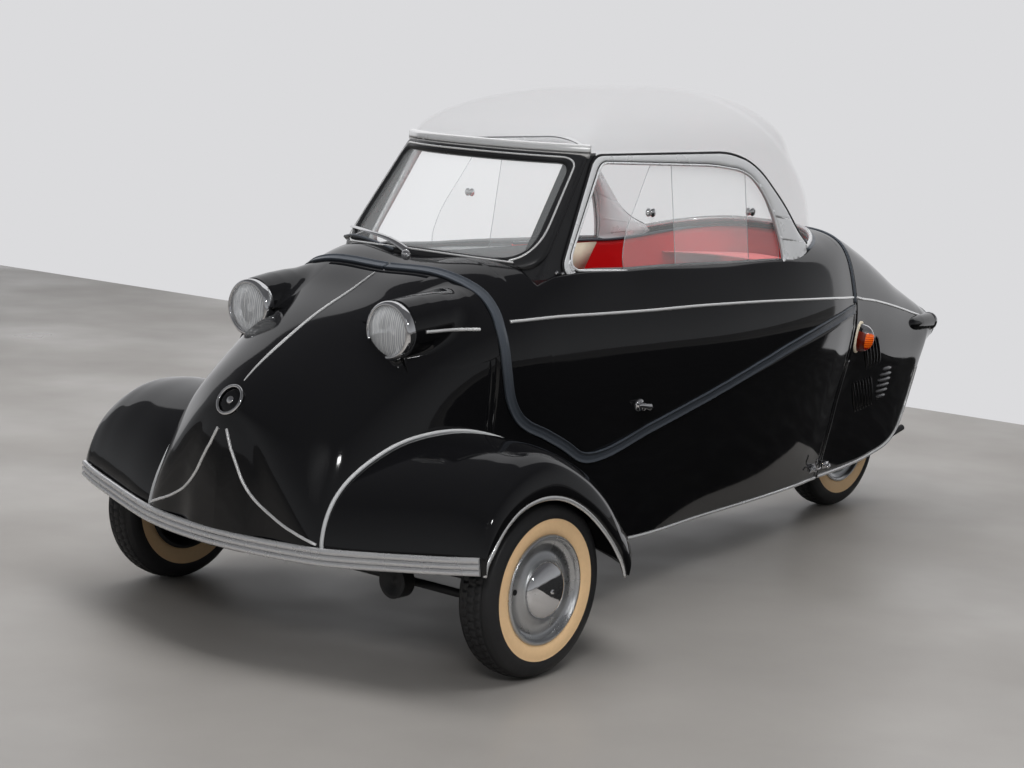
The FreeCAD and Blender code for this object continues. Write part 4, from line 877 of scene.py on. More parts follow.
def band(bag, shape, outer, inner, height, slot, side=1, below=5, columns=9, closed=True):
    # a raised band between two lines on a surface; its height is height * (1 - |2t - 1| ^ 4) across
    t = np.linspace(0, 1, columns)
    lift = np.concatenate([[-below], height * (1 - np.abs(2 * t - 1) ** 4), [-below]])
    t = np.concatenate([[0], t, [1]])[None, :, None]
    where = outer[:, None] * (1 - t) + inner[:, None] * t
    point, normal = onGlass(shape, where[..., 0], where[..., 1])
    ring = (point + normal * lift[None, :, None]) * np.array([1, side, 1])
    bag.grid(ring, slot, flip=side < 0, wrapRows=closed, wrapColumns=True)


def glassBead(bag, shape, line, width, height, slot, side=1, lift=0.0, closed=True):
    # a half-round bead along a line on the surface
    point, normal = onGlass(shape, line[:, 0], line[:, 1])
    mirror = np.array([1, side, 1])
    ring = carry((point + normal * lift) * mirror, normal * mirror, beadProfile(width, height), closed)
    bag.tube(ring, slot, closed=closed)


def inset(loop, distance):
    # the closed outline moved inwards, square to its own direction; it runs clockwise seen with a to the right
    ahead = unit(np.roll(loop, -1, 0) - np.roll(loop, 1, 0))
    return loop + np.stack([ahead[:, 1], -ahead[:, 0]], axis=1) * distance


# windscreen: the rubber's outer and inner loops as (share, z), a bright bead in it, the glass under it
screen = {"outer": [(-1.005, 800), (-1.005, 1054), (1.005, 1054), (1.005, 800), (0, 818)],
          "inner": [(-0.9, 822), (-0.91, 1032), (0.91, 1032), (0.9, 822), (0, 838)],
          "outerRound": [0.16, 0.05, 0.05, 0.16, 0.9], "innerRound": [0.22, 0.09, 0.09, 0.22, 0.8], "rubber": 7.0,
          "bead": 5.0}


def screenLoop(corners, rounds):
    # corners in (share * 300, z) millimetres, so that the rounding is even both ways
    corners = [(share * 300, z) for share, z in corners]
    loop = evenSteps(roundedLoop(corners, [value * 300 for value in rounds], 10), 320, True)
    return loop / np.array([300, 1.0])


outerLoop = screenLoop(screen["outer"], screen["outerRound"])
innerLoop = screenLoop(screen["inner"], screen["innerRound"])
middleLoop = outerLoop * 0.42 + innerLoop * 0.58
bag = Bag()
band(bag, screenPoint, outerLoop, innerLoop, screen["rubber"], 0)
glassBead(bag, screenPoint, middleLoop, screen["bead"], 3, 1, lift=screen["rubber"] - 1)
header = np.column_stack([np.linspace(-1.02, 1.02, 120), np.full(120, 1060.0)])
low, high = header - [0, 14], header + [0, 15]
ringT = np.linspace(0, 1, 9)[None, :, None]
where = low[:, None] * (1 - ringT) + high[:, None] * ringT
point, normal = onGlass(screenPoint, where[..., 0], where[..., 1])
bulge = 9 * np.clip(1 - np.abs(2 * ringT - 1) ** 3.5, 0, 1) ** 0.5 - 1
bar = point + normal * bulge
bag.tube(np.concatenate([bar, (point - normal * 4)[:, ::-1]], axis=1), 1)
# black pillar between the windscreen's rubber and the side frame, t as in planPoint
level = np.linspace(784, 1056, 40)[:, None]
ahead = np.linspace(0, 1, 16)[None]
postBack = np.interp(level, [780, 805, 1051], [640, 655, 522])
cornerX = glassLevel(level[:, 0])[:, 1][:, None]
lastT = cornerT + (sideT - cornerT) * (cornerX - postBack) / (cornerX - sideEnd)
px, py = planPoint(0.215 + (lastT - 0.215) * ahead, level + 0 * ahead)
for side in (1, -1):
    bag.grid(np.stack([px - 1.5, (py - 1.5) * side, level + 0 * px], axis=2), 0, flip=side > 0)
place(bag.make("windscreen_frame_shaped", [sealBlack, brightTrim]), "canopy", "seal_rubber", "windscreen_frame")

shareGrid, upGrid = np.meshgrid(np.linspace(-0.95, 0.95, 90), np.linspace(0, 1, 30), indexing="ij")
lowEdge = 827 - 10 * np.abs(shareGrid) ** 2
bag = Bag()
bag.grid(screenPoint(shareGrid, lowEdge + (1042 - lowEdge) * upGrid))
pane = bag.make("windscreen_pane", [paneClear])
thicken(pane, glassShape["pane"])
place(pane, "canopy", "clear_pane", "windscreen")

# side frames: a polished band from the border to the opening, beads round the window, rubber along the outside
sideFrame = {
    "border": [(668, 805), (531, 1051), (-20, 1052), (-130, 1018), (-250, 915), (-330, 835), (-405, 810), (-408, 778),
               (-300, 752), (251, 762), (640, 780)],
    "borderRound": [26, 30, 60, 60, 60, 60, 24, 24, 70, 90, 26],
    "opening": [(642, 822), (510, 1037), (60, 1024), (-90, 1006), (-170, 935), (-205, 870), (-226, 810), (-232, 772),
                (-180, 768), (251, 776), (628, 796)],
    "openingRound": [26, 26, 50, 60, 50, 40, 30, 20, 26, 90, 26], "height": 4.5, "rubber": 7.0}


def sideLoop(name):
    corners = sideFrame[name]
    loop = roundedLoop(corners, sideFrame[name + "Round"], 10)
    spans = [evenSteps(loop[k * 10:k * 10 + 10], 12) for k in range(len(corners))]
    joined = []
    for k, span in enumerate(spans):
        following = spans[(k + 1) % len(spans)][0]
        straight = span[-1] + (following - span[-1]) * np.linspace(0, 1, 12)[1:-1, None]
        joined += [span, straight]
    return np.concatenate(joined)


border, opening = sideLoop("border"), sideLoop("opening")
bag = Bag()
for side in (1, -1):
    band(bag, sidePoint, border, opening, sideFrame["height"], 0, side, below=6)
    glassBead(bag, sidePoint, border * 0.985 + opening * 0.015, sideFrame["rubber"], 3.0, 1, side, lift=0.5)
    glassBead(bag, sidePoint, inset(opening, -3.0), 6.0, 3.5, 0, side, lift=3.0)
    glassBead(bag, sidePoint, inset(opening, 0.5), 3.0, 3.0, 1, side, lift=1.0)
place(bag.make("window_frame_shaped", [paleFrame, sealBlack]), "canopy", "bright_strip", "window_frame")

# side panes: a fixed rear pane, and ahead of it a sliding pane with a bowed front edge and a knob
panes = {"top": [(520, 1040), (60, 1028), (-90, 1010), (-165, 945), (-205, 875), (-228, 800)],
         "bottom": [(640, 806), (251, 770), (-180, 762), (-228, 766)],
         "slideFront": [(424, 770), (436, 812), (428, 850), (360, 960), (308, 1034)], "fixedFront": 222,
         "slideBack": -78}
topLine, bottomLine = np.array(panes["top"], float), np.array(panes["bottom"], float)


def topOfPane(x):
    return np.interp(-x, -topLine[:, 0], topLine[:, 1])


def bottomOfPane(x):
    return np.interp(-x, -bottomLine[:, 0], bottomLine[:, 1])


front = pathThrough(panes["slideFront"], 40)
for side, label in ((1, "left"), (-1, "right")):
    bag = Bag()
    x, share = np.meshgrid(np.linspace(panes["fixedFront"], -224, 70), np.linspace(0, 1, 24), indexing="ij")
    rearPane = sidePoint(x, bottomOfPane(x) + (topOfPane(x) - bottomOfPane(x)) * share) - [0, 8, 0]
    bag.grid(rearPane * [1, side, 1], 0, flip=side < 0)
    level = front[:, 1]
    t = np.linspace(0, 1, 50)
    x = front[None, :, 0] + (panes["slideBack"] - front[None, :, 0]) * t[:, None]
    z = np.minimum(np.maximum(level[None], bottomOfPane(x)), topOfPane(x))
    bag.grid((sidePoint(x, z) - [0, 2, 0]) * [1, side, 1], 0, flip=side < 0)
    windowPane = bag.make("window_panes_" + label, [paneClear, paneEdge])
    thicken(windowPane, 2.5, rim=1)
    place(windowPane, "canopy", "clear_pane", "window_" + label)
knobs = Bag()
for side in (1, -1):
    for x, z, depth in ((319, 917, 2), (-105, 905, 8)):
        centre = sidePoint(np.array(float(x)), np.array(float(z))) * [1, side, 1] - [0, side * (depth + 3), 0]
        knobs.spin(centre, (0, side, 0), [(0, -7), (9, -7), (10.5, -5), (9, -2), (4, -1), (4, 4), (9, 5), (10.5, 8),
                                          (9, 10), (0, 10)], 24)
place(knobs.make("window_knobs", [chrome]), "canopy", "chrome")

# dome: plan outline at each height below the header, an ellipsoid crown above it; it starts on the frame or on the body
domeColumns, domeRows = 150, 56
turn = np.linspace(0, 1, domeColumns // 2 + 1)


def footHeight(x, y):
    return hullPoints(atX(x), topV(x, np.maximum(y, 0.5))[:, None])[:, 0, 2]


borderX = np.array([700, 531, -20, -60, -130, -250, -330, -395])
borderZ = np.array([1056, 1056, 1056, 1050, 1024, 918, 842, 812])
start = np.full(len(turn), 1056.0)
for _ in range(8):
    x, y = planPoint(turn, start)
    onFrame = np.interp(-x, -borderX, borderZ)
    start = np.where(x > -395, onFrame, footHeight(np.clip(x, -640, 900), y) - 3)
up = np.linspace(0, 1, domeRows)[None]
wallShare = 0.35
z = np.where(up < wallShare, start[:, None] + (headerZ - start[:, None]) * up / wallShare, headerZ)
x, y = planPoint(turn[:, None] + 0 * up, np.minimum(z, headerZ))
lean = np.clip((up - wallShare) / (1 - wallShare), 0, 1) * np.pi / 2
crownX = glassShape["crownX"]
z = z + glassShape["roofRise"] * np.sin(lean)
# behind the windows the wall bows in earlier: shrink = sqrt(1 - ((z - bowFrom) / (top - bowFrom)) ^ 2)
ease = np.clip((turn[:, None] - sideT) / 0.2, 0, 1)
ease = ease ** 2 * (3 - 2 * ease)
top, bowFrom = headerZ + glassShape["roofRise"], glassShape["bowFrom"]
bowed = np.sqrt(1 - np.clip((z - bowFrom) / (top - bowFrom), 0, 1) ** 2)
shrink = np.cos(lean) * (1 - ease) + bowed * ease
x, y = crownX + (x - crownX) * shrink, y * shrink
half = np.stack([x + 0 * up, y + 0 * up, z + 0 * up], axis=2)
bag = Bag()
bag.grid(half)
bag.grid(bothSides(half), flip=True)
domePiece = bag.make("dome_shell", [domeClear])
thicken(domePiece, glassShape["dome"])
place(domePiece, "canopy", "clear_pane", "dome")

# bright bead with a rubber foot round the back of the dome
rearTurn = np.linspace(0.705, 1, 60)
x, y = planPoint(rearTurn, np.full(60, 815.0))
z = footHeight(x, y)
rim = np.column_stack([x, y, z])
rim = np.concatenate([rim, bothSides(rim)[-2::-1]])
outward = unit(np.column_stack([rim[:, 0] - sideEnd, rim[:, 1], np.full(len(rim), 60.0)]))
bag = Bag()
bag.tube(carry(rim + outward * 2, (0, 0, 1), ellipse(11, 16, 14, 5)), 0)
bag.tube(carry(rim + outward * 6, (0, 0, 1), ellipse(20, 7, 14, 1)), 1)
place(bag.make("dome_rim", [aluminium, rubber]), "canopy", "bright_strip")
screws = Bag()
for side in (1, -1):
    for x, z in ((655, 810), (683, 797), (661, 794)):
        spot, outward = onGlass(sidePoint, np.array([float(x)]), np.array([float(z)]))
        screws.spin(spot[0] * [1, side, 1], outward[0] * [1, side, 1], [(5, -2), (5, 1), (3.5, 2.6), (0, 3.2)], 16)
place(screws.make("frame_screws", [chrome]), "canopy", "chrome")
print("glasshouse made")

# seam rubber: a wide strip with raised edges, over the cowl, down the side and along the V to the tail
seam = {"width": 24, "height": 5.5, "edge": 2.4,
        "left": [(913, 0, 797), (914, 60, 795), (915, 140, 790), (911, 215, 781), (902, 250, 772), (896, 276, 757),
                 (895, 300, 730), (902, 331, 679),
                 (896, 346, 597), (874, 349, 528), (846, 350, 493), (760, 351, 452), (689, 351, 419), (610, 350, 381),
                 (560, 351, 382),
                 (379, 357, 427), (197, 366, 475), (4, 366, 528), (-236, 350, 583), (-492, 310, 618), (-632, 276, 630)]}


def seamProfile():
    half, top, edge = seam["width"] / 2, seam["height"], seam["edge"]
    left = [(-half, -3), (-half, top - 1.5), (-half + 0.8, top), (-half + 2.6, top), (-half + 3.6, top - edge),
            (-2, top - edge + 0.8)]
    return np.array(left + [(-across, up) for across, up in left[::-1]])


def nearestV(path):
    # for points near the body: station and v of the nearest surface point at the same x
    at = atX(path[:, 0])
    section = hullPoints(at, searchV)[..., 1:]
    distance = ((section - np.abs(path[:, None, 1:])) ** 2).sum(axis=2)
    v = searchV[np.argmin(distance, axis=1)]
    smooth = np.concatenate([np.full(5, v[0]), v, np.full(5, v[-1])])
    return at, np.convolve(smooth, np.ones(11) / 11, "valid")


def laid(points, count, side=1, lift=0.0):
    # a smooth line through 3-D points near the body, drawn onto its surface
    at, v = nearestV(pathThrough(points, count))
    point, normal = hullFrame(at, v, side)
    return point + normal * lift, normal


bag = Bag()
path, normal = laid(seam["left"], 480)
bag.tube(carry(path, normal, seamProfile()))
path, normal = laid(seam["left"][:8] + [(901, 336, 708)], 260, -1)
bag.tube(carry(path, normal, seamProfile()))
place(bag.make("seam_rubber", [rubber]), "canopy", "seal_rubber")

# bright strips along the belt, on the nose, the canopy and the tail
belt = {"width": 7.5, "height": 3.6,
        "frontFrom": 1084, "frontTo": 925, "frontZ": 691,
        "main": [(868, 704), (718, 707), (585, 705), (407, 702), (215, 701), (4, 696), (-236, 686), (-450, 673),
                 (-626, 660)],
        "tail": [(-658, 657), (-692, 651), (-804, 636), (-939, 613), (-1060, 590), (-1175, 566), (-1290, 542),
                 (-1360, 527), (-1402, 519)]}
for name, body in (("main", "canopy"), ("tail", "tail")):
    bag = Bag()
    for side in (1, -1):
        trimOnSide(bag, belt[name], 200, side, belt["width"], belt["height"])
    place(bag.make("belt_strip_" + name, [brightTrim]), body, "chrome")

# ahead of the seam the strip lies on the outer side of the lamp pod: each slice is cut at the strip's height
slices = podLeft[len(pod["disc"]):]
above = slices[..., 2] > belt["frontZ"]
last = above.shape[1] - 1 - np.argmax(above[:, ::-1], axis=1)
rows = np.arange(len(slices))
upper, lower = slices[rows, last], slices[rows, np.minimum(last + 1, above.shape[1] - 1)]
share = np.clip((upper[:, 2] - belt["frontZ"]) / np.maximum(upper[:, 2] - lower[:, 2], 1e-6), 0, 1)[:, None]
cut = upper + (lower - upper) * share
bodyY = hullPoints(atX(cut[:, 0]), sideV(cut[:, 0], np.full(len(cut), float(belt["frontZ"])))[:, None])[:, 0, 1]
cut[:, 1] = np.maximum(cut[:, 1], bodyY)
cut = cut[(cut[:, 0] < belt["frontFrom"]) & (cut[:, 0] > belt["frontTo"])]
line = pathThrough(cut[::6], 90)
bag = Bag()
for side in (1, -1):
    bag.tube(carry(line * [1, side, 1], (0, side, 0.25), beadProfile(belt["width"], belt["height"])))
place(bag.make("belt_strip_front", [brightTrim]), "chassis", "chrome")

# light piping where the fenders meet the body, and bright trims along the wheel arches and the sills
archTrim = [(1240, 256), (1236, 276), (1219, 301), (1183, 346), (1139, 376), (1076, 391), (1005, 384), (943, 358),
            (868, 304), (811, 245), (783, 204), (776, 186)]
sill = {"tub": [(430, 156), (327, 152), (15, 152), (-240, 152), (-538, 152), (-642, 153)],
        "tail": [(-658, 154), (-703, 155), (-847, 163), (-963, 177), (-1085, 206), (-1150, 243), (-1185, 285),
                 (-1204, 350), (-1213, 410)]}


def fenderFoot():
    # in each row across the fender, the place where its y equals the body's half width at the same x and z
    x, y, z = (fenderLeft[..., k] for k in range(3))
    v = sideV(x.ravel(), z.ravel())
    apart = y - hullPoints(atX(x.ravel()), v[:, None])[:, 0, 1].reshape(x.shape)
    first = np.argmax(apart > 0, axis=1)
    row = np.nonzero((first > 0) & (x[:, 0] > 590))[0]
    first = first[row]
    before, after = apart[row, first - 1], apart[row, first]
    share = (-before / np.maximum(after - before, 1e-6))[:, None]
    foot = fenderLeft[row, first - 1] * (1 - share) + fenderLeft[row, first] * share
    rising = np.gradient(fenderLeft, axis=0)[row, first]
    outward = unit(np.cross(fenderLeft[row, first] - fenderLeft[row, first - 1], rising))
    outward = outward * np.where(outward[:, 2:] + outward[:, :1] > 0, 1, -1)
    _, body = hullFrame(atX(foot[:, 0]), sideV(foot[:, 0], foot[:, 2]))
    return foot, unit(outward + body)


footLine, footNormal = fenderFoot()
pipe = {"size": 8.5, "lift": 2.6}
joined = pathThrough(np.concatenate([footLine, footNormal * 60], axis=1)[::3], 260)
bag = Bag()
for side in (1, -1):
    mirror = np.array([1, side, 1])
    path, normal = joined[:, :3] * mirror, unit(joined[:, 3:] * mirror)
    bag.tube(carry(path + normal * pipe["lift"], normal, ellipse(pipe["size"], pipe["size"], 12)), 1)
    line = pathThrough([(x, 603, z) for x, z in archTrim], 160) * [1, side, 1]
    bag.tube(carry(line, (0, side, 0), ellipse(11, 7, 12)), 0)
    foot = np.array([(776, 601, 186), (760, 596, 190), (742, 584, 197)], float) * [1, side, 1]
    bag.tube(carry(pathThrough(foot, 20), (0, side, 0), ellipse(12, 6, 12)), 0)
    trimOnSide(bag, sill["tub"], 160, side, 9, 4.5)
place(bag.make("body_trims", [brightTrim, pipingGrey]), "chassis", "chrome")
bag = Bag()
for side in (1, -1):
    trimOnSide(bag, sill["tail"], 160, side, 9, 4.5)
place(bag.make("tail_trims", [brightTrim]), "tail", "chrome")

# door handle: a round plate and a drop-shaped lever on the left
handle = {"x": 437, "z": 487}
spot, outward = spotOnSide(handle["x"], handle["z"], 14)
bag = Bag()
bag.spin(spot, outward, [(15, -2), (15, 2), (13, 4), (8, 5), (7, 12), (9, 14), (8, 17), (0, 18)], 32)
leverPath = np.array([(18, 14, 3), (6, 15, 1), (-10, 15, -2), (-26, 13, -5), (-34, 9, -6)], float)
leverPath = spot + pathThrough(leverPath, 24)
size = np.interp(np.linspace(0, 1, 24), [0, 0.12, 0.5, 0.85, 1], [0.35, 0.8, 1, 1.25, 0.5])[:, None, None]
lever = carry(leverPath, (0, 1, 0), ellipse(13, 9, 16))
lever = leverPath[:, None] + (lever - leverPath[:, None]) * size
bag.tube(lever)
place(bag.make("door_handle_shaped", [chrome]), "canopy", "chrome", "door_handle")

# wiper: a domed spindle nut on the cowl, a sprung arm and a blade with a rubber edge
wiper = {"pivot": (842, -4, 810), "arm": [(842, -4, 822), (822, -70, 838), (791, -171, 847), (726, -290, 846)],
         "blade": [(742, -294, 822), (778, -229, 832), (812, -130, 828), (836, -52, 820)]}
bag = Bag()
pivot = np.array(wiper["pivot"], float)
bag.spin(pivot, (0.6, 0, 0.8), [(13, -16), (13, -2), (11, 4), (9, 11), (5, 15), (0, 16)], 28)
armLine = pathThrough(wiper["arm"], 40)
armSize = np.interp(np.linspace(0, 1, 40), [0, 0.35, 1], [1.7, 1.1, 0.7])[:, None, None]
arm = carry(armLine, (0.7, 0, 0.7), ellipse(10, 5, 12))
bag.tube(armLine[:, None] + (arm - armLine[:, None]) * armSize)
bladeLine = pathThrough(wiper["blade"], 40)
bag.tube(carry(bladeLine, (0.7, 0, 0.7), ellipse(7, 7, 10)), 1)
bag.tube(carry(bladeLine + [-3, 0, -5], (0.7, 0, 0.7), ellipse(3, 9, 10)), 1)
for share in (0.3, 0.75):
    link = np.linspace(armLine[int(39 * (1 - share) * 0.9)], bladeLine[int(39 * share)], 6)
    bag.tube(carry(link, (0.7, 0, 0.7), ellipse(5, 4, 10)))
place(bag.make("wiper_shaped", [chrome, rubber]), "canopy", "chrome", "wiper")
print("side trims made")

# indicators: a cream gasket on the tail, an amber lens with a chrome cap at its top
indicator = {"x": -687, "z": 548, "wide": 21, "tall": 38, "out": 42, "capFrom": 0.42, "footTo": -0.62,
             "paintedShadeRows": 7, "gasket": [(1.16, 0), (1.16, 4.5), (1.1, 6), (1.0, 6)]}
bag = Bag()
for side in (1, -1):
    spot, out = spotOnSide(indicator["x"], indicator["z"], 30, side)
    ahead = unit(np.cross(out, [0, 0, 1.0]))
    upward = np.cross(ahead, out)
    turn, polar = np.linspace(0, 2 * np.pi, 48, endpoint=False), np.linspace(np.pi / 2, 0, 22)
    turn, polar = np.meshgrid(turn, polar, indexing="ij")
    flute = 1 + 0.012 * np.cos(14 * turn) * np.sin(polar)
    a = indicator["wide"] * np.sin(polar) * np.cos(turn) * flute
    b = indicator["tall"] * np.sin(polar) * np.sin(turn) * flute
    c = 3 + indicator["out"] * np.cos(polar) ** 0.8
    lens = spot + a[..., None] * ahead + b[..., None] * upward + c[..., None] * out
    # by height in the lens: chrome cap above, red foot below, amber between, and next to the gasket a darker amber that
    # is painted shade
    level = (b[:, :-1] + b[:, 1:]) / 2 / indicator["tall"]
    slots = np.where(level > indicator["capFrom"], 2, np.where(level < indicator["footTo"], 3, 1))
    # rows next to the gasket, except the chrome, take the darker amber: painted shade
    slots[:, :indicator["paintedShadeRows"]] = np.where(slots[:, :indicator["paintedShadeRows"]] == 2, 2, 4)
    bag.grid(lens, slots.ravel(), flip=side > 0, wrapRows=True)
    size, rise = np.array(indicator["gasket"], float).T[:, None]
    around = turn[:, :1]
    rim = (spot + (indicator["wide"] * np.cos(around) * size)[..., None] * ahead
           + (indicator["tall"] * np.sin(around) * size)[..., None] * upward + (rise - 1)[..., None] * out)
    bag.grid(rim, 0, flip=side < 0, wrapRows=True)
indicatorPiece = bag.make("indicators_shaped", [creamTrim, amberLens, chrome, redLens, amberPaintedShade])
indicatorPiece.visible_glossy = False
place(indicatorPiece, "tail", "amber_lens", "indicators")

# tail lamps: a black pod half sunk in each side of the tail, a chrome ring and a red lens that looks back
tailLamp = {"path": [(-1090, 158, 541), (-1130, 160, 540), (-1200, 149, 538), (-1290, 131, 535)],
            "pod": [(0, 0), (0.05, 10), (0.2, 19), (0.5, 23), (1, 24)],
            "ring": [(24, -2), (26.5, 0), (27, 5), (25.5, 9), (22, 10), (21, 8)],
            "lens": [(21.5, 8), (20, 13), (14, 18), (6, 20.5), (0, 21)]}
bag = Bag()
for side in (1, -1):
    line = pathThrough(tailLamp["path"], 50) * [1, side, 1]
    size = np.array(tailLamp["pod"], float)
    radius = np.interp(np.linspace(0, 1, 50), size[:, 0], size[:, 1])
    unitRing = carry(line, (0, 0, 1), ellipse(2, 2, 36))
    bag.tube(line[:, None] + (unitRing - line[:, None]) * np.maximum(radius, 0.5)[:, None, None], 0)
    back = unit(line[-1] - line[-2])
    bag.spin(line[-1], back, tailLamp["ring"], 48, slot=1)
    bag.spin(line[-1], back, pathThrough(tailLamp["lens"], 16), 48, slot=2)
place(bag.make("tail_lamps_shaped", [blackPaint, chrome, redLens]), "tail", "red_lens", "tail_lamps")

# end cap of the tail, with a dark joint ahead of it
tailCap = {"from": -1338, "lift": 2.2}
bag = Bag()
capAt = np.linspace(atX(tailCap["from"]), lastStation, 24)
v = np.linspace(0, floorRow, 41)
atGrid, vGrid = np.meshgrid(capAt, v, indexing="ij")
point, normal = hullFrame(atGrid.ravel(), vGrid.ravel())
swell = np.interp(atGrid.ravel(), capAt[[0, 2, -3, -1]], [-0.5, tailCap["lift"], tailCap["lift"], 0.4])
half = (point + normal * swell[:, None]).reshape(24, 41, 3)
half[..., 0] = np.maximum(half[..., 0], -1409.5)
full = np.concatenate([bothSides(half[:, :0:-1]), half], axis=1)
bag.grid(full, 0, flip=True)
jointPath = np.concatenate([bothSides(half[:1, :0:-1]), half[:1]], axis=1)[0] + [4, 0, 0]
bag.tube(carry(jointPath, (1, 0, 0), ellipse(5, 8, 10)), 1)
place(bag.make("tail_end_cap", [endGrey, rubber]), "tail", "body_paint")

# louvres: a pressed lip, tapered at both ends, with a black strip behind it that is painted shade in the slot; the left
# side also has an oval grille
louvre = {"rows": [(5, (-731, 547), (-827, 535), (-807, 445), (-889, 454)),
                   (7, (-736, 415), (-847, 420), (-802, 322), (-906, 330))],
          "width": 11, "height": 6.0, "slot": 6.5, "steps": 26, "grille": {"x": -957, "z": 391, "halfLength": 44,
                                                                           "halfHeight": 54, "slots": 6, "pitch": 16}}


def louvreAt(bag, top, foot, side, level=False, lipSlot=0):
    # the lip's height follows sin ^ 0.35 along its length
    points = np.linspace(0, 1, louvre["steps"])[:, None] * (np.array(foot, float) - top) + top
    path, normal = onSide(points, louvre["steps"], side)
    grow = np.maximum(np.sin(np.linspace(0, np.pi, louvre["steps"])), 0.02)[:, None, None] ** 0.35
    lip = carry(path, normal, beadProfile(louvre["width"], louvre["height"], 12))
    bag.tube(path[:, None] + (lip - path[:, None]) * grow, lipSlot)
    away = np.array([0, 0, -1.0]) if level else np.array([-1.0, 0, 0])
    away = unit(away - (away * normal).sum(1, keepdims=True) * normal)
    half = louvre["slot"] / 2
    shift = louvre["width"] / 2 + half - 1.5
    # the slot is drawn as a flat black strip just off the surface: painted shade
    slotShadeProfile = [(-half, -0.5), (-half, 0.5), (half, 0.5), (half, -0.5)]
    bag.tube(carry(path + away * shift + normal * 0.2, normal, slotShadeProfile)[2:-2], 1)


bag = Bag()
for count, firstTop, lastTop, firstFoot, lastFoot in louvre["rows"]:
    for share in np.linspace(0, 1, count):
        top = np.array(firstTop) + (np.array(lastTop) - firstTop) * share
        foot = np.array(firstFoot) + (np.array(lastFoot) - firstFoot) * share
        for side in (1, -1):
            louvreAt(bag, top, foot, side)
grille = louvre["grille"]
for k in range(grille["slots"]):
    rise = (k - (grille["slots"] - 1) / 2) * grille["pitch"]
    reach = grille["halfLength"] * np.sqrt(1 - (rise / grille["halfHeight"]) ** 2)
    louvreAt(bag, (grille["x"] + reach, grille["z"] + rise), (grille["x"] - reach, grille["z"] + rise), 1, True, 2)
place(bag.make("tail_louvres", [blackPaint, holeShade, satinGrey]), "tail", "body_paint")

# rubber hoop over the top at the tail seam, and the bright front edge of the tail cover below it
hoop = {"x": -643, "width": 13, "height": 4, "edgeX": -658}
v = np.linspace(2.05, 0, 90)
point, normal = hullFrame(np.full(90, atX(hoop["x"])), v)
path, normals = np.concatenate([point, bothSides(point)[-2::-1]]), np.concatenate([normal, bothSides(normal)[-2::-1]])
bag = Bag()
bag.tube(carry(path, normals, beadProfile(hoop["width"], hoop["height"])))
place(bag.make("tail_hoop", [rubber]), "chassis", "seal_rubber")
bag = Bag()
for side in (1, -1):
    edgeV = np.linspace(2.55, 3.98, 80)
    point, normal = hullFrame(np.full(80, atX(hoop["edgeX"])), edgeV, side)
    bag.tube(carry(point, normal, beadProfile(3.0, 2.0)))
place(bag.make("tail_front_edge", [chrome]), "tail", "chrome")

# toggle latches at the foot of the tail seam: catch on the tail, base and lever on the tub
latch = {"z": 186, "tailX": -682, "tubX": -606}
catches, toggles = Bag(), Bag()


def boxAt(bag, centre, axes, half, slot=0):
    corners = np.array([(a, b, c) for a in (-1, 1) for b in (-1, 1) for c in (-1, 1)], float)
    faces = [(0, 1, 3, 2), (4, 6, 7, 5), (0, 4, 5, 1), (2, 3, 7, 6), (0, 2, 6, 4), (1, 5, 7, 3)]
    bag.add(np.asarray(centre, float) + (corners * half) @ np.asarray(axes, float), faces, slot)


for side in (1, -1):
    for bag, x in ((catches, latch["tailX"]), (toggles, latch["tubX"])):
        spot, out = spotOnSide(x, latch["z"], 10, side)
        ahead = unit(np.cross(out, [0, 0, 1.0])) * side
        upward = np.cross(ahead, out) * side
        axes = [ahead, upward, out]
        if bag is catches:
            boxAt(bag, spot + out * 2, axes, (13, 9, 4))
            bar = spot + np.array([-9, 0, 9])[:, None] * ahead + np.array([14, 15, 14])[:, None] * out
            bag.tube(carry(bar, out, ellipse(6, 6, 12)))
            bag.spin(spot + out * 4, out, [(5, -3), (5, 6), (7, 8), (7, 12), (0, 13)], 20)
        else:
            boxAt(bag, spot + out * 2, axes, (22, 8, 4))
            bag.spin(spot + ahead * 6 + out * 4, out, [(6, -3), (6, 9), (4, 11), (0, 12)], 20)
            lever = np.array([(-26, 2, 12), (-6, 3, 15), (14, 8, 16), (26, 20, 15), (24, 30, 15), (30, 36, 14)], float)
            lever = spot + lever @ np.array(axes)
            bag.tube(carry(pathThrough(lever, 40), out, ellipse(5.5, 4.5, 12)))
            hook = np.array([(26, 4, 9), (40, 3, 10), (46, -3, 10)], float)
            bag.tube(carry(pathThrough(spot + hook @ np.array(axes), 16), out, ellipse(4.5, 4.5, 12)))
place(catches.make("tail_catches", [chrome]), "tail", "chrome", "tail_latches")
place(toggles.make("tub_toggles", [chrome]), "chassis", "chrome")
print("tail dressed")

# cabin lining: red walls round the back under the dome's foot, a shelf behind the rear seat, dark walls ahead
lining = {"inset": 17, "low": 560, "shelf": 742, "from": 0.47, "creamFrom": -100}
turn = np.linspace(lining["from"], 1, 60)
up = np.linspace(0, 1, 14)
x, y = planPoint(turn, np.full(60, 800.0))
bodyTop = footHeight(np.clip(x, -640, 900), y)
away = unit(np.stack([np.gradient(y), -np.gradient(x)], axis=1))
x, y = x + away[:, 0] * lining["inset"], np.maximum(y - lining["inset"] * np.abs(away[:, 1]), 0)
wallTop = bodyTop - 12
z = lining["low"] + (wallTop[:, None] - lining["low"]) * up
wall = np.stack([x[:, None] + 0 * z, y[:, None] + 0 * z, z], axis=2)
bag = Bag()
bag.grid(wall, 0, flip=True)
bag.grid(bothSides(wall), 0)
topLoop = np.concatenate([wall[:, -1], bothSides(wall[::-1, -1])[1:]])
bag.tube(carry(topLoop, (0, 0, 1), ellipse(9, 7, 12)), 1)
across = np.linspace(-1, 1, 40)
shelfX = np.linspace(-436, -566, 24)
halfWidth = np.array([np.interp(value, x[::-1], y[::-1]) for value in shelfX]) - 3
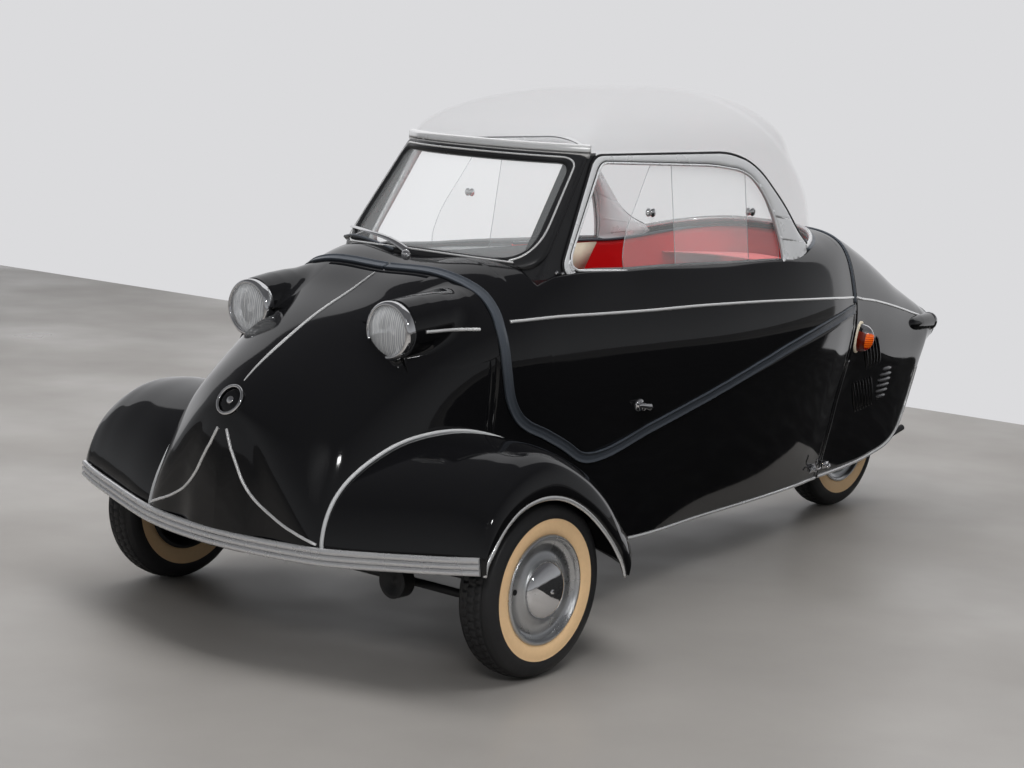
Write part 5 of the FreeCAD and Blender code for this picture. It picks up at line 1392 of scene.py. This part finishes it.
y = halfWidth[:, None] * across
shelf = np.stack([shelfX[:, None] + 0 * y, y, lining["shelf"] + 10 * (1 - across ** 2) + 0 * y], axis=2)
bag.grid(shelf, 2, flip=True)
liningPiece = bag.make("rear_lining", [redVinyl, rubber, redLight])
thicken(liningPiece, 4)
place(liningPiece, "canopy", "red_vinyl")
sideXs = np.linspace(lining["creamFrom"] + 60, 640, 60)
bag = Bag()
for side in (1, -1):
    level = np.linspace(620, 775, 12)
    X, Z = np.meshgrid(sideXs, level, indexing="ij")
    Y = np.minimum(glassHalfWidth(np.minimum(X, 700), np.full(X.shape, 780.0)), 303) - 22 + 0 * Z
    panelGrid = np.stack([X, Y * side, Z], axis=2)
    bag.grid(panelGrid, 0, flip=side < 0)
    cream = np.array([(-96, 281, 690), (-96, 281, 772), (-205, 280, 772), (-150, 281, 690)], float) * [1, side, 1]
    bag.add(cream, [(0, 1, 2, 3) if side < 0 else (3, 2, 1, 0)], 1)
sideLining = bag.make("side_lining", [satinBlack, creamTrim])
thicken(sideLining, 4)
place(sideLining, "canopy", "black_plastic")

# seats: boxes with rounded edges, blown up from inside as cloth, then drawn in along the sewn channels
cushions = {
    "front_seat_cushion": {"box": (112, 518, -205, 205, 250, 326), "crown": 14, "channels": 6, "thick": 2,
                           "node": "front_seat"},
    "front_seat_backrest": {"box": (24, 128, -200, 200, 300, 676), "crown": 12, "channels": 6, "thick": 0, "node": ""},
    "rear_seat_cushion": {"box": (-418, -62, -200, 200, 262, 336), "crown": 14, "channels": 6, "thick": 2,
                          "node": "rear_seat"},
    "rear_seat_backrest": {"box": (-512, -424, -186, 186, 300, 696), "crown": 12, "channels": 6, "thick": 0,
                           "node": "rear_seat_back"}}
filling = {"voxel": 0.006, "pressure": 4.0, "frames": 20, "cap": 0.024, "start": 8, "channelDepth": 6.0,
           "channelWidth": 0.07, "edge": 6.0}


def cushionShell(name, values):
    # superellipsoid |x|^p + |y|^p + |z|^p = 1 scaled to the box less the start gap, its faces swelled by the crown
    x0, x1, y0, y1, z0, z1 = values["box"]
    middle = np.array([(x0 + x1) / 2, (y0 + y1) / 2, (z0 + z1) / 2])
    half = np.array([(x1 - x0) / 2, (y1 - y0) / 2, (z1 - z0) / 2]) - filling["start"]
    turn, tilt = np.linspace(0, 2 * np.pi, 160, endpoint=False), np.linspace(-np.pi / 2, np.pi / 2, 80)
    turn, tilt = np.meshgrid(turn, tilt, indexing="ij")
    ray = np.stack([np.cos(tilt) * np.cos(turn), np.cos(tilt) * np.sin(turn), np.sin(tilt)], axis=2)
    power, thick = 10, values["thick"]
    cube = ray * (np.abs(ray) ** power).sum(axis=2, keepdims=True) ** (-1 / power)
    outward = np.clip(np.abs(cube[..., thick]), 0, 1) ** 6
    half = half - np.where(np.arange(3) == thick, values["crown"], 0)
    points = middle + cube * half
    swell = values["crown"] * (1 - np.clip(np.abs(cube[..., 1]), 0, 1) ** 2.2) * outward
    points[..., thick] += np.sign(cube[..., thick]) * swell
    bag = Bag()
    bag.grid(points, 0, wrapRows=True)
    return bag.make(name, [redVinyl])


def cornersOf(mesh):
    flat = np.empty(len(mesh.vertices) * 3, np.float32)
    mesh.vertices.foreach_get("co", flat)
    return flat.reshape(-1, 3).astype(float)


def blownUp(piece):
    # even net of small squares, then cloth with inner pressure; no point moves further than the cap
    even = piece.modifiers.new("even", "REMESH")
    even.mode, even.voxel_size, even.use_smooth_shade = "VOXEL", filling["voxel"], True
    net = bpy.data.meshes.new_from_object(piece.evaluated_get(bpy.context.evaluated_depsgraph_get()))
    piece.modifiers.clear()
    piece.data = net
    start = cornersOf(net)
    cloth = piece.modifiers.new("filling", "CLOTH")
    cloth.settings.quality, cloth.settings.mass = 4, 0.3
    cloth.settings.tension_stiffness = cloth.settings.compression_stiffness = 15
    cloth.settings.shear_stiffness, cloth.settings.bending_stiffness = 5, 1.0
    cloth.settings.use_pressure, cloth.settings.uniform_pressure_force = True, filling["pressure"]
    cloth.settings.effector_weights.gravity = 0
    cloth.collision_settings.use_collision = False
    cloth.point_cache.frame_start, cloth.point_cache.frame_end = 1, filling["frames"]
    for step in range(1, filling["frames"] + 1):
        bpy.context.scene.frame_set(step)
    settled = piece.evaluated_get(bpy.context.evaluated_depsgraph_get())
    move = cornersOf(settled.to_mesh()) - start
    settled.to_mesh_clear()
    piece.modifiers.clear()
    length = np.linalg.norm(move, axis=1, keepdims=True)
    bpy.context.scene.frame_set(1)
    return start + move * np.minimum(1, filling["cap"] / np.maximum(length, 1e-9))


for name, values in cushions.items():
    piece = cushionShell(name, values)
    points = blownUp(piece)
    points = points / mm
    x0, x1, y0, y1, z0, z1 = values["box"]
    low, high = np.array([x0, y0, z0]), np.array([x1, y1, z1])
    # back inside the box, softly: beyond the box less 6 mm the rest of the way is halved again and again
    middle, half = (low + high) / 2, (high - low) / 2
    away = np.abs(points - middle)
    over = np.maximum(away - (half - filling["edge"]), 0)
    away = np.minimum(away, half - filling["edge"]) + filling["edge"] * (1 - np.exp(-over / filling["edge"]))
    points = middle + np.sign(points - middle) * away
    # channels: depth * exp(-(distance to the seam / width) ^ 2) on both broad faces
    thick = values["thick"]
    reach = np.abs(points[:, thick] - middle[thick]) / half[thick]
    phase = (points[:, 1] - y0) / (y1 - y0) * values["channels"]
    inside = np.abs(points[:, 1] - middle[1]) < 0.93 * half[1]
    valley = filling["channelDepth"] * np.exp(-((phase - np.round(phase)) / filling["channelWidth"]) ** 2)
    valley *= inside * np.clip(reach * 1.3 - 0.2, 0, 1) ** 2
    points[:, thick] -= np.sign(points[:, thick] - middle[thick]) * valley
    piece.data.vertices.foreach_set("co", (points * mm).astype(np.float32).ravel())
    piece.data.materials.clear()
    piece.data.materials.append(redVinyl)
    piece.data.polygons.foreach_set("use_smooth", np.full(len(piece.data.polygons), True))
    fewer = piece.modifiers.new("fewer", "DECIMATE")
    fewer.ratio = 0.3
    smoother = piece.modifiers.new("smoother", "SUBSURF")
    smoother.levels = smoother.render_levels = 1
    place(piece, "chassis", "red_vinyl", *([values["node"]] if values["node"] else []))
print("seats filled")

# dashboard fittings: a round dial with a bright rim and three knobs
dial = {"x": 798, "y": 0, "z": 690}
bag = Bag()
toBack = unit(np.array([-1, 0, 0.25]))
centre = np.array([dial["x"] - 40, dial["y"], dial["z"]], float)
bag.spin(centre, toBack, [(52, -10), (52, 6), (49, 9), (46, 8), (45, 5)], 64)
bag.spin(centre, toBack, [(46, 4), (0, 4)], 64, slot=1)
for y in (-120, -80, 90):
    bag.spin((dial["x"] - 44, y, 670), toBack, [(4, -6), (4, 8), (10, 10), (11, 16), (8, 20), (0, 21)], 24, slot=2)
place(bag.make("dash_dial", [chrome, dialFace, satinBlack]), "chassis", "black_plastic")
print("cabin made")

# finishes on the pieces that keep their shape
keptNodes = ("dashboard", "front_axle", "knuckle_left", "knuckle_right", "track_rod", "steering_bar", "steering_column",
             "pedals", "gear_lever", "seat_frames", "engine", "rear_fork", "silencer", "horn")
brighter = {"steering_bar": chrome, "engine": castAlloy}
for node in keptNodes:
    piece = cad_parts[node]
    piece.data.materials.clear()
    piece.data.materials.append(brighter.get(node, satinBlack))

# floor, backdrop, lights, camera
stage = {"floor": (0.27, 0.255, 0.24, 1), "wall": rgb(219, 219, 221), "hall": (0.3, 0.305, 0.315, 1),
         "ceiling": (0.09, 0.09, 0.095, 1), "ambient": (0.42, 0.425, 0.43, 1),
         "wallLine": [(-2.527, -5.856), (-2.806, -0.288)], "wallHeight": 9}
floorMat = grain(finish("studioFloor", stage["floor"], 0.42, wear=0.4, mottle=0.3, scale=1.1, fine=1.7), 3, 0.1, 0.02)
bpy.ops.mesh.primitive_plane_add(size=60, location=(0, 0, 0))
floor = bpy.context.object
floor.name = "studio_floor"
floor.data.materials.append(floorMat)


def seenDirectly(tree):
    # 1 for rays that come from the camera, a mirror or clear glass
    path, either, total = newNodes(tree, "LightPath", "Math", "Math")
    either.operation = total.operation = "MAXIMUM"
    join(tree, (path, "Is Camera Ray", either, 0), (path, "Is Glossy Ray", either, 1), (either, 0, total, 0),
         (path, "Is Transmission Ray", total, 1))
    return total


def oneSided(material, shader):
    # clear from behind
    tree = material.node_tree
    facing, clear, choose = newNodes(tree, "NewGeometry", "BsdfTransparent", "MixShader")
    join(tree, (facing, "Backfacing", choose, "Fac"), (shader, 0, choose, 1), (clear, "BSDF", choose, 2),
         (choose, "Shader", tree.nodes["Material Output"], "Surface"))


# backdrop wall behind the car, an even pale grey; it is clear from behind, so that other views aren't blocked
lineStart, lineEnd = (np.array([*point, 0.0]) for point in stage["wallLine"])
run = unit(lineEnd - lineStart)
ends, rise = (lineStart - run * 12, lineEnd + run * 0.9), np.array([0, 0, stage["wallHeight"]])
corners = np.array([ends[0], ends[1], ends[1] + rise, ends[0] + rise])
wallMat = finish("studioWall", stage["wall"], 0.8, mottle=0.03, scale=0.6, fine=2)
tree = wallMat.node_tree
glow, even = newNodes(tree, "Emission", "MixShader")
settle(glow, Color=stage["wall"])
join(tree, (seenDirectly(tree), 0, even, "Fac"), (tree.nodes["Principled BSDF"], "BSDF", even, 1),
     (glow, "Emission", even, 2))
oneSided(wallMat, even)
wall = meshOf("studio_wall", corners / mm, [(3, 2, 1, 0)], [wallMat], smooth=False)
if wall.data.polygons[0].normal.x < 0:
    wall.data.flip_normals()

# world: a dim hall that darkens upwards; straight from the camera it is the same pale grey as the wall
world = bpy.data.worlds.new("studio")
bpy.context.scene.world = world
world.use_nodes = True
tree = world.node_tree
direction, split, blend, path = newNodes(tree, "TexCoord", "SeparateXYZ", "MapRange", "LightPath")
sky, mirrored, shown = newNodes(tree, "Mix", "Mix", "Mix")
sky.data_type = mirrored.data_type = shown.data_type = "RGBA"
settle(blend, From_Min=0.05, From_Max=0.6)
settle(sky, A=stage["hall"], B=stage["ceiling"])
settle(mirrored, A=stage["ambient"])
settle(shown, B=stage["wall"])
join(tree, (direction, "Generated", split, "Vector"), (split, "Z", blend, "Value"), (blend, "Result", sky, "Factor"),
     (sky, "Result", mirrored, "B"), (path, "Is Glossy Ray", mirrored, "Factor"), (mirrored, "Result", shown, "A"),
     (path, "Is Camera Ray", shown, "Factor"), (shown, "Result", tree.nodes["Background"], "Color"))


def areaLight(name, where, target, size, power):
    lamp = bpy.data.lights.new(name, "AREA")
    lamp.shape, lamp.size, lamp.size_y = "RECTANGLE", size[0], size[1]
    lamp.energy = power
    holder = bpy.data.objects.new(name, lamp)
    bpy.context.scene.collection.objects.link(holder)
    aim = unit(np.array(target, float) - np.array(where, float))
    back = -aim
    right = unit(np.cross([0, 0, 1.0] if abs(aim[2]) < 0.95 else [1.0, 0, 0], back))
    over = np.cross(back, right)
    turned = np.eye(4)
    turned[:3, 0], turned[:3, 1], turned[:3, 2], turned[:3, 3] = right, over, back, where
    holder.matrix_world = Matrix(turned.tolist())
    return holder


# the large lamps light the scene, dimmer ones of the same size are what the paint mirrors
for name, where, target, size, power, shown in (
        ("overhead", (0.4, 0.6, 4.8), (0, 0, 0), (5.0, 2.2), 190, 120), ("overheadFar", (-1.4, -2.6, 4.6),
                                                                         (-0.5, -0.5, 0), (5.0, 1.6), 110, 80),
        ("frontLeft", (5.2, 3.4, 3.6), (0.6, 0, 0.4), (1.6, 1.0), 55, 60)):
    areaLight(name, where, target, size, power).visible_glossy = False
    areaLight(name + "Mirrored", where, target, size, shown)
areaLight("lampSmall", (3.4, 5.2, 3.4), (0.4, 0, 0.4), (0.5, 0.3), 20)

# a black card on the floor beside the car, out of the picture and seen by mirrors only: the left side looks at it
cardMat = finish("studioCard", (0.004, 0.004, 0.004, 1), 0.9)
oneSided(cardMat, cardMat.node_tree.nodes["Principled BSDF"])
cardLine = [(0.6, 0.4), (-1.2, 0.3), (-2.5, -0.9), (-6, -0.9), (-6, 6), (0.6, 6)]
cardCorners = np.array([(x, y, 0.004) for x, y in cardLine]) / mm
card = meshOf("studio_card", cardCorners, [(5, 4, 3, 2, 1, 0)], [cardMat], smooth=False)
if card.data.polygons[0].normal.z < 0:
    card.data.flip_normals()
card.visible_camera = card.visible_diffuse = card.visible_shadow = False

cameraView = {"place": (4.54088, 3.36751, 1.33146), "turn": (80.914092, -2.874404, 129.955482), "lens": 78.996}
cameraData = bpy.data.cameras.new("camera")
cameraData.sensor_width, cameraData.lens = 36, cameraView["lens"]
camera = bpy.data.objects.new("camera", cameraData)
camera.location = cameraView["place"]
camera.rotation_euler = [np.radians(angle) for angle in cameraView["turn"]]
bpy.context.scene.collection.objects.link(camera)
bpy.context.scene.camera = camera
bpy.context.scene.view_settings.view_transform = "Standard"
print("stage and camera set")
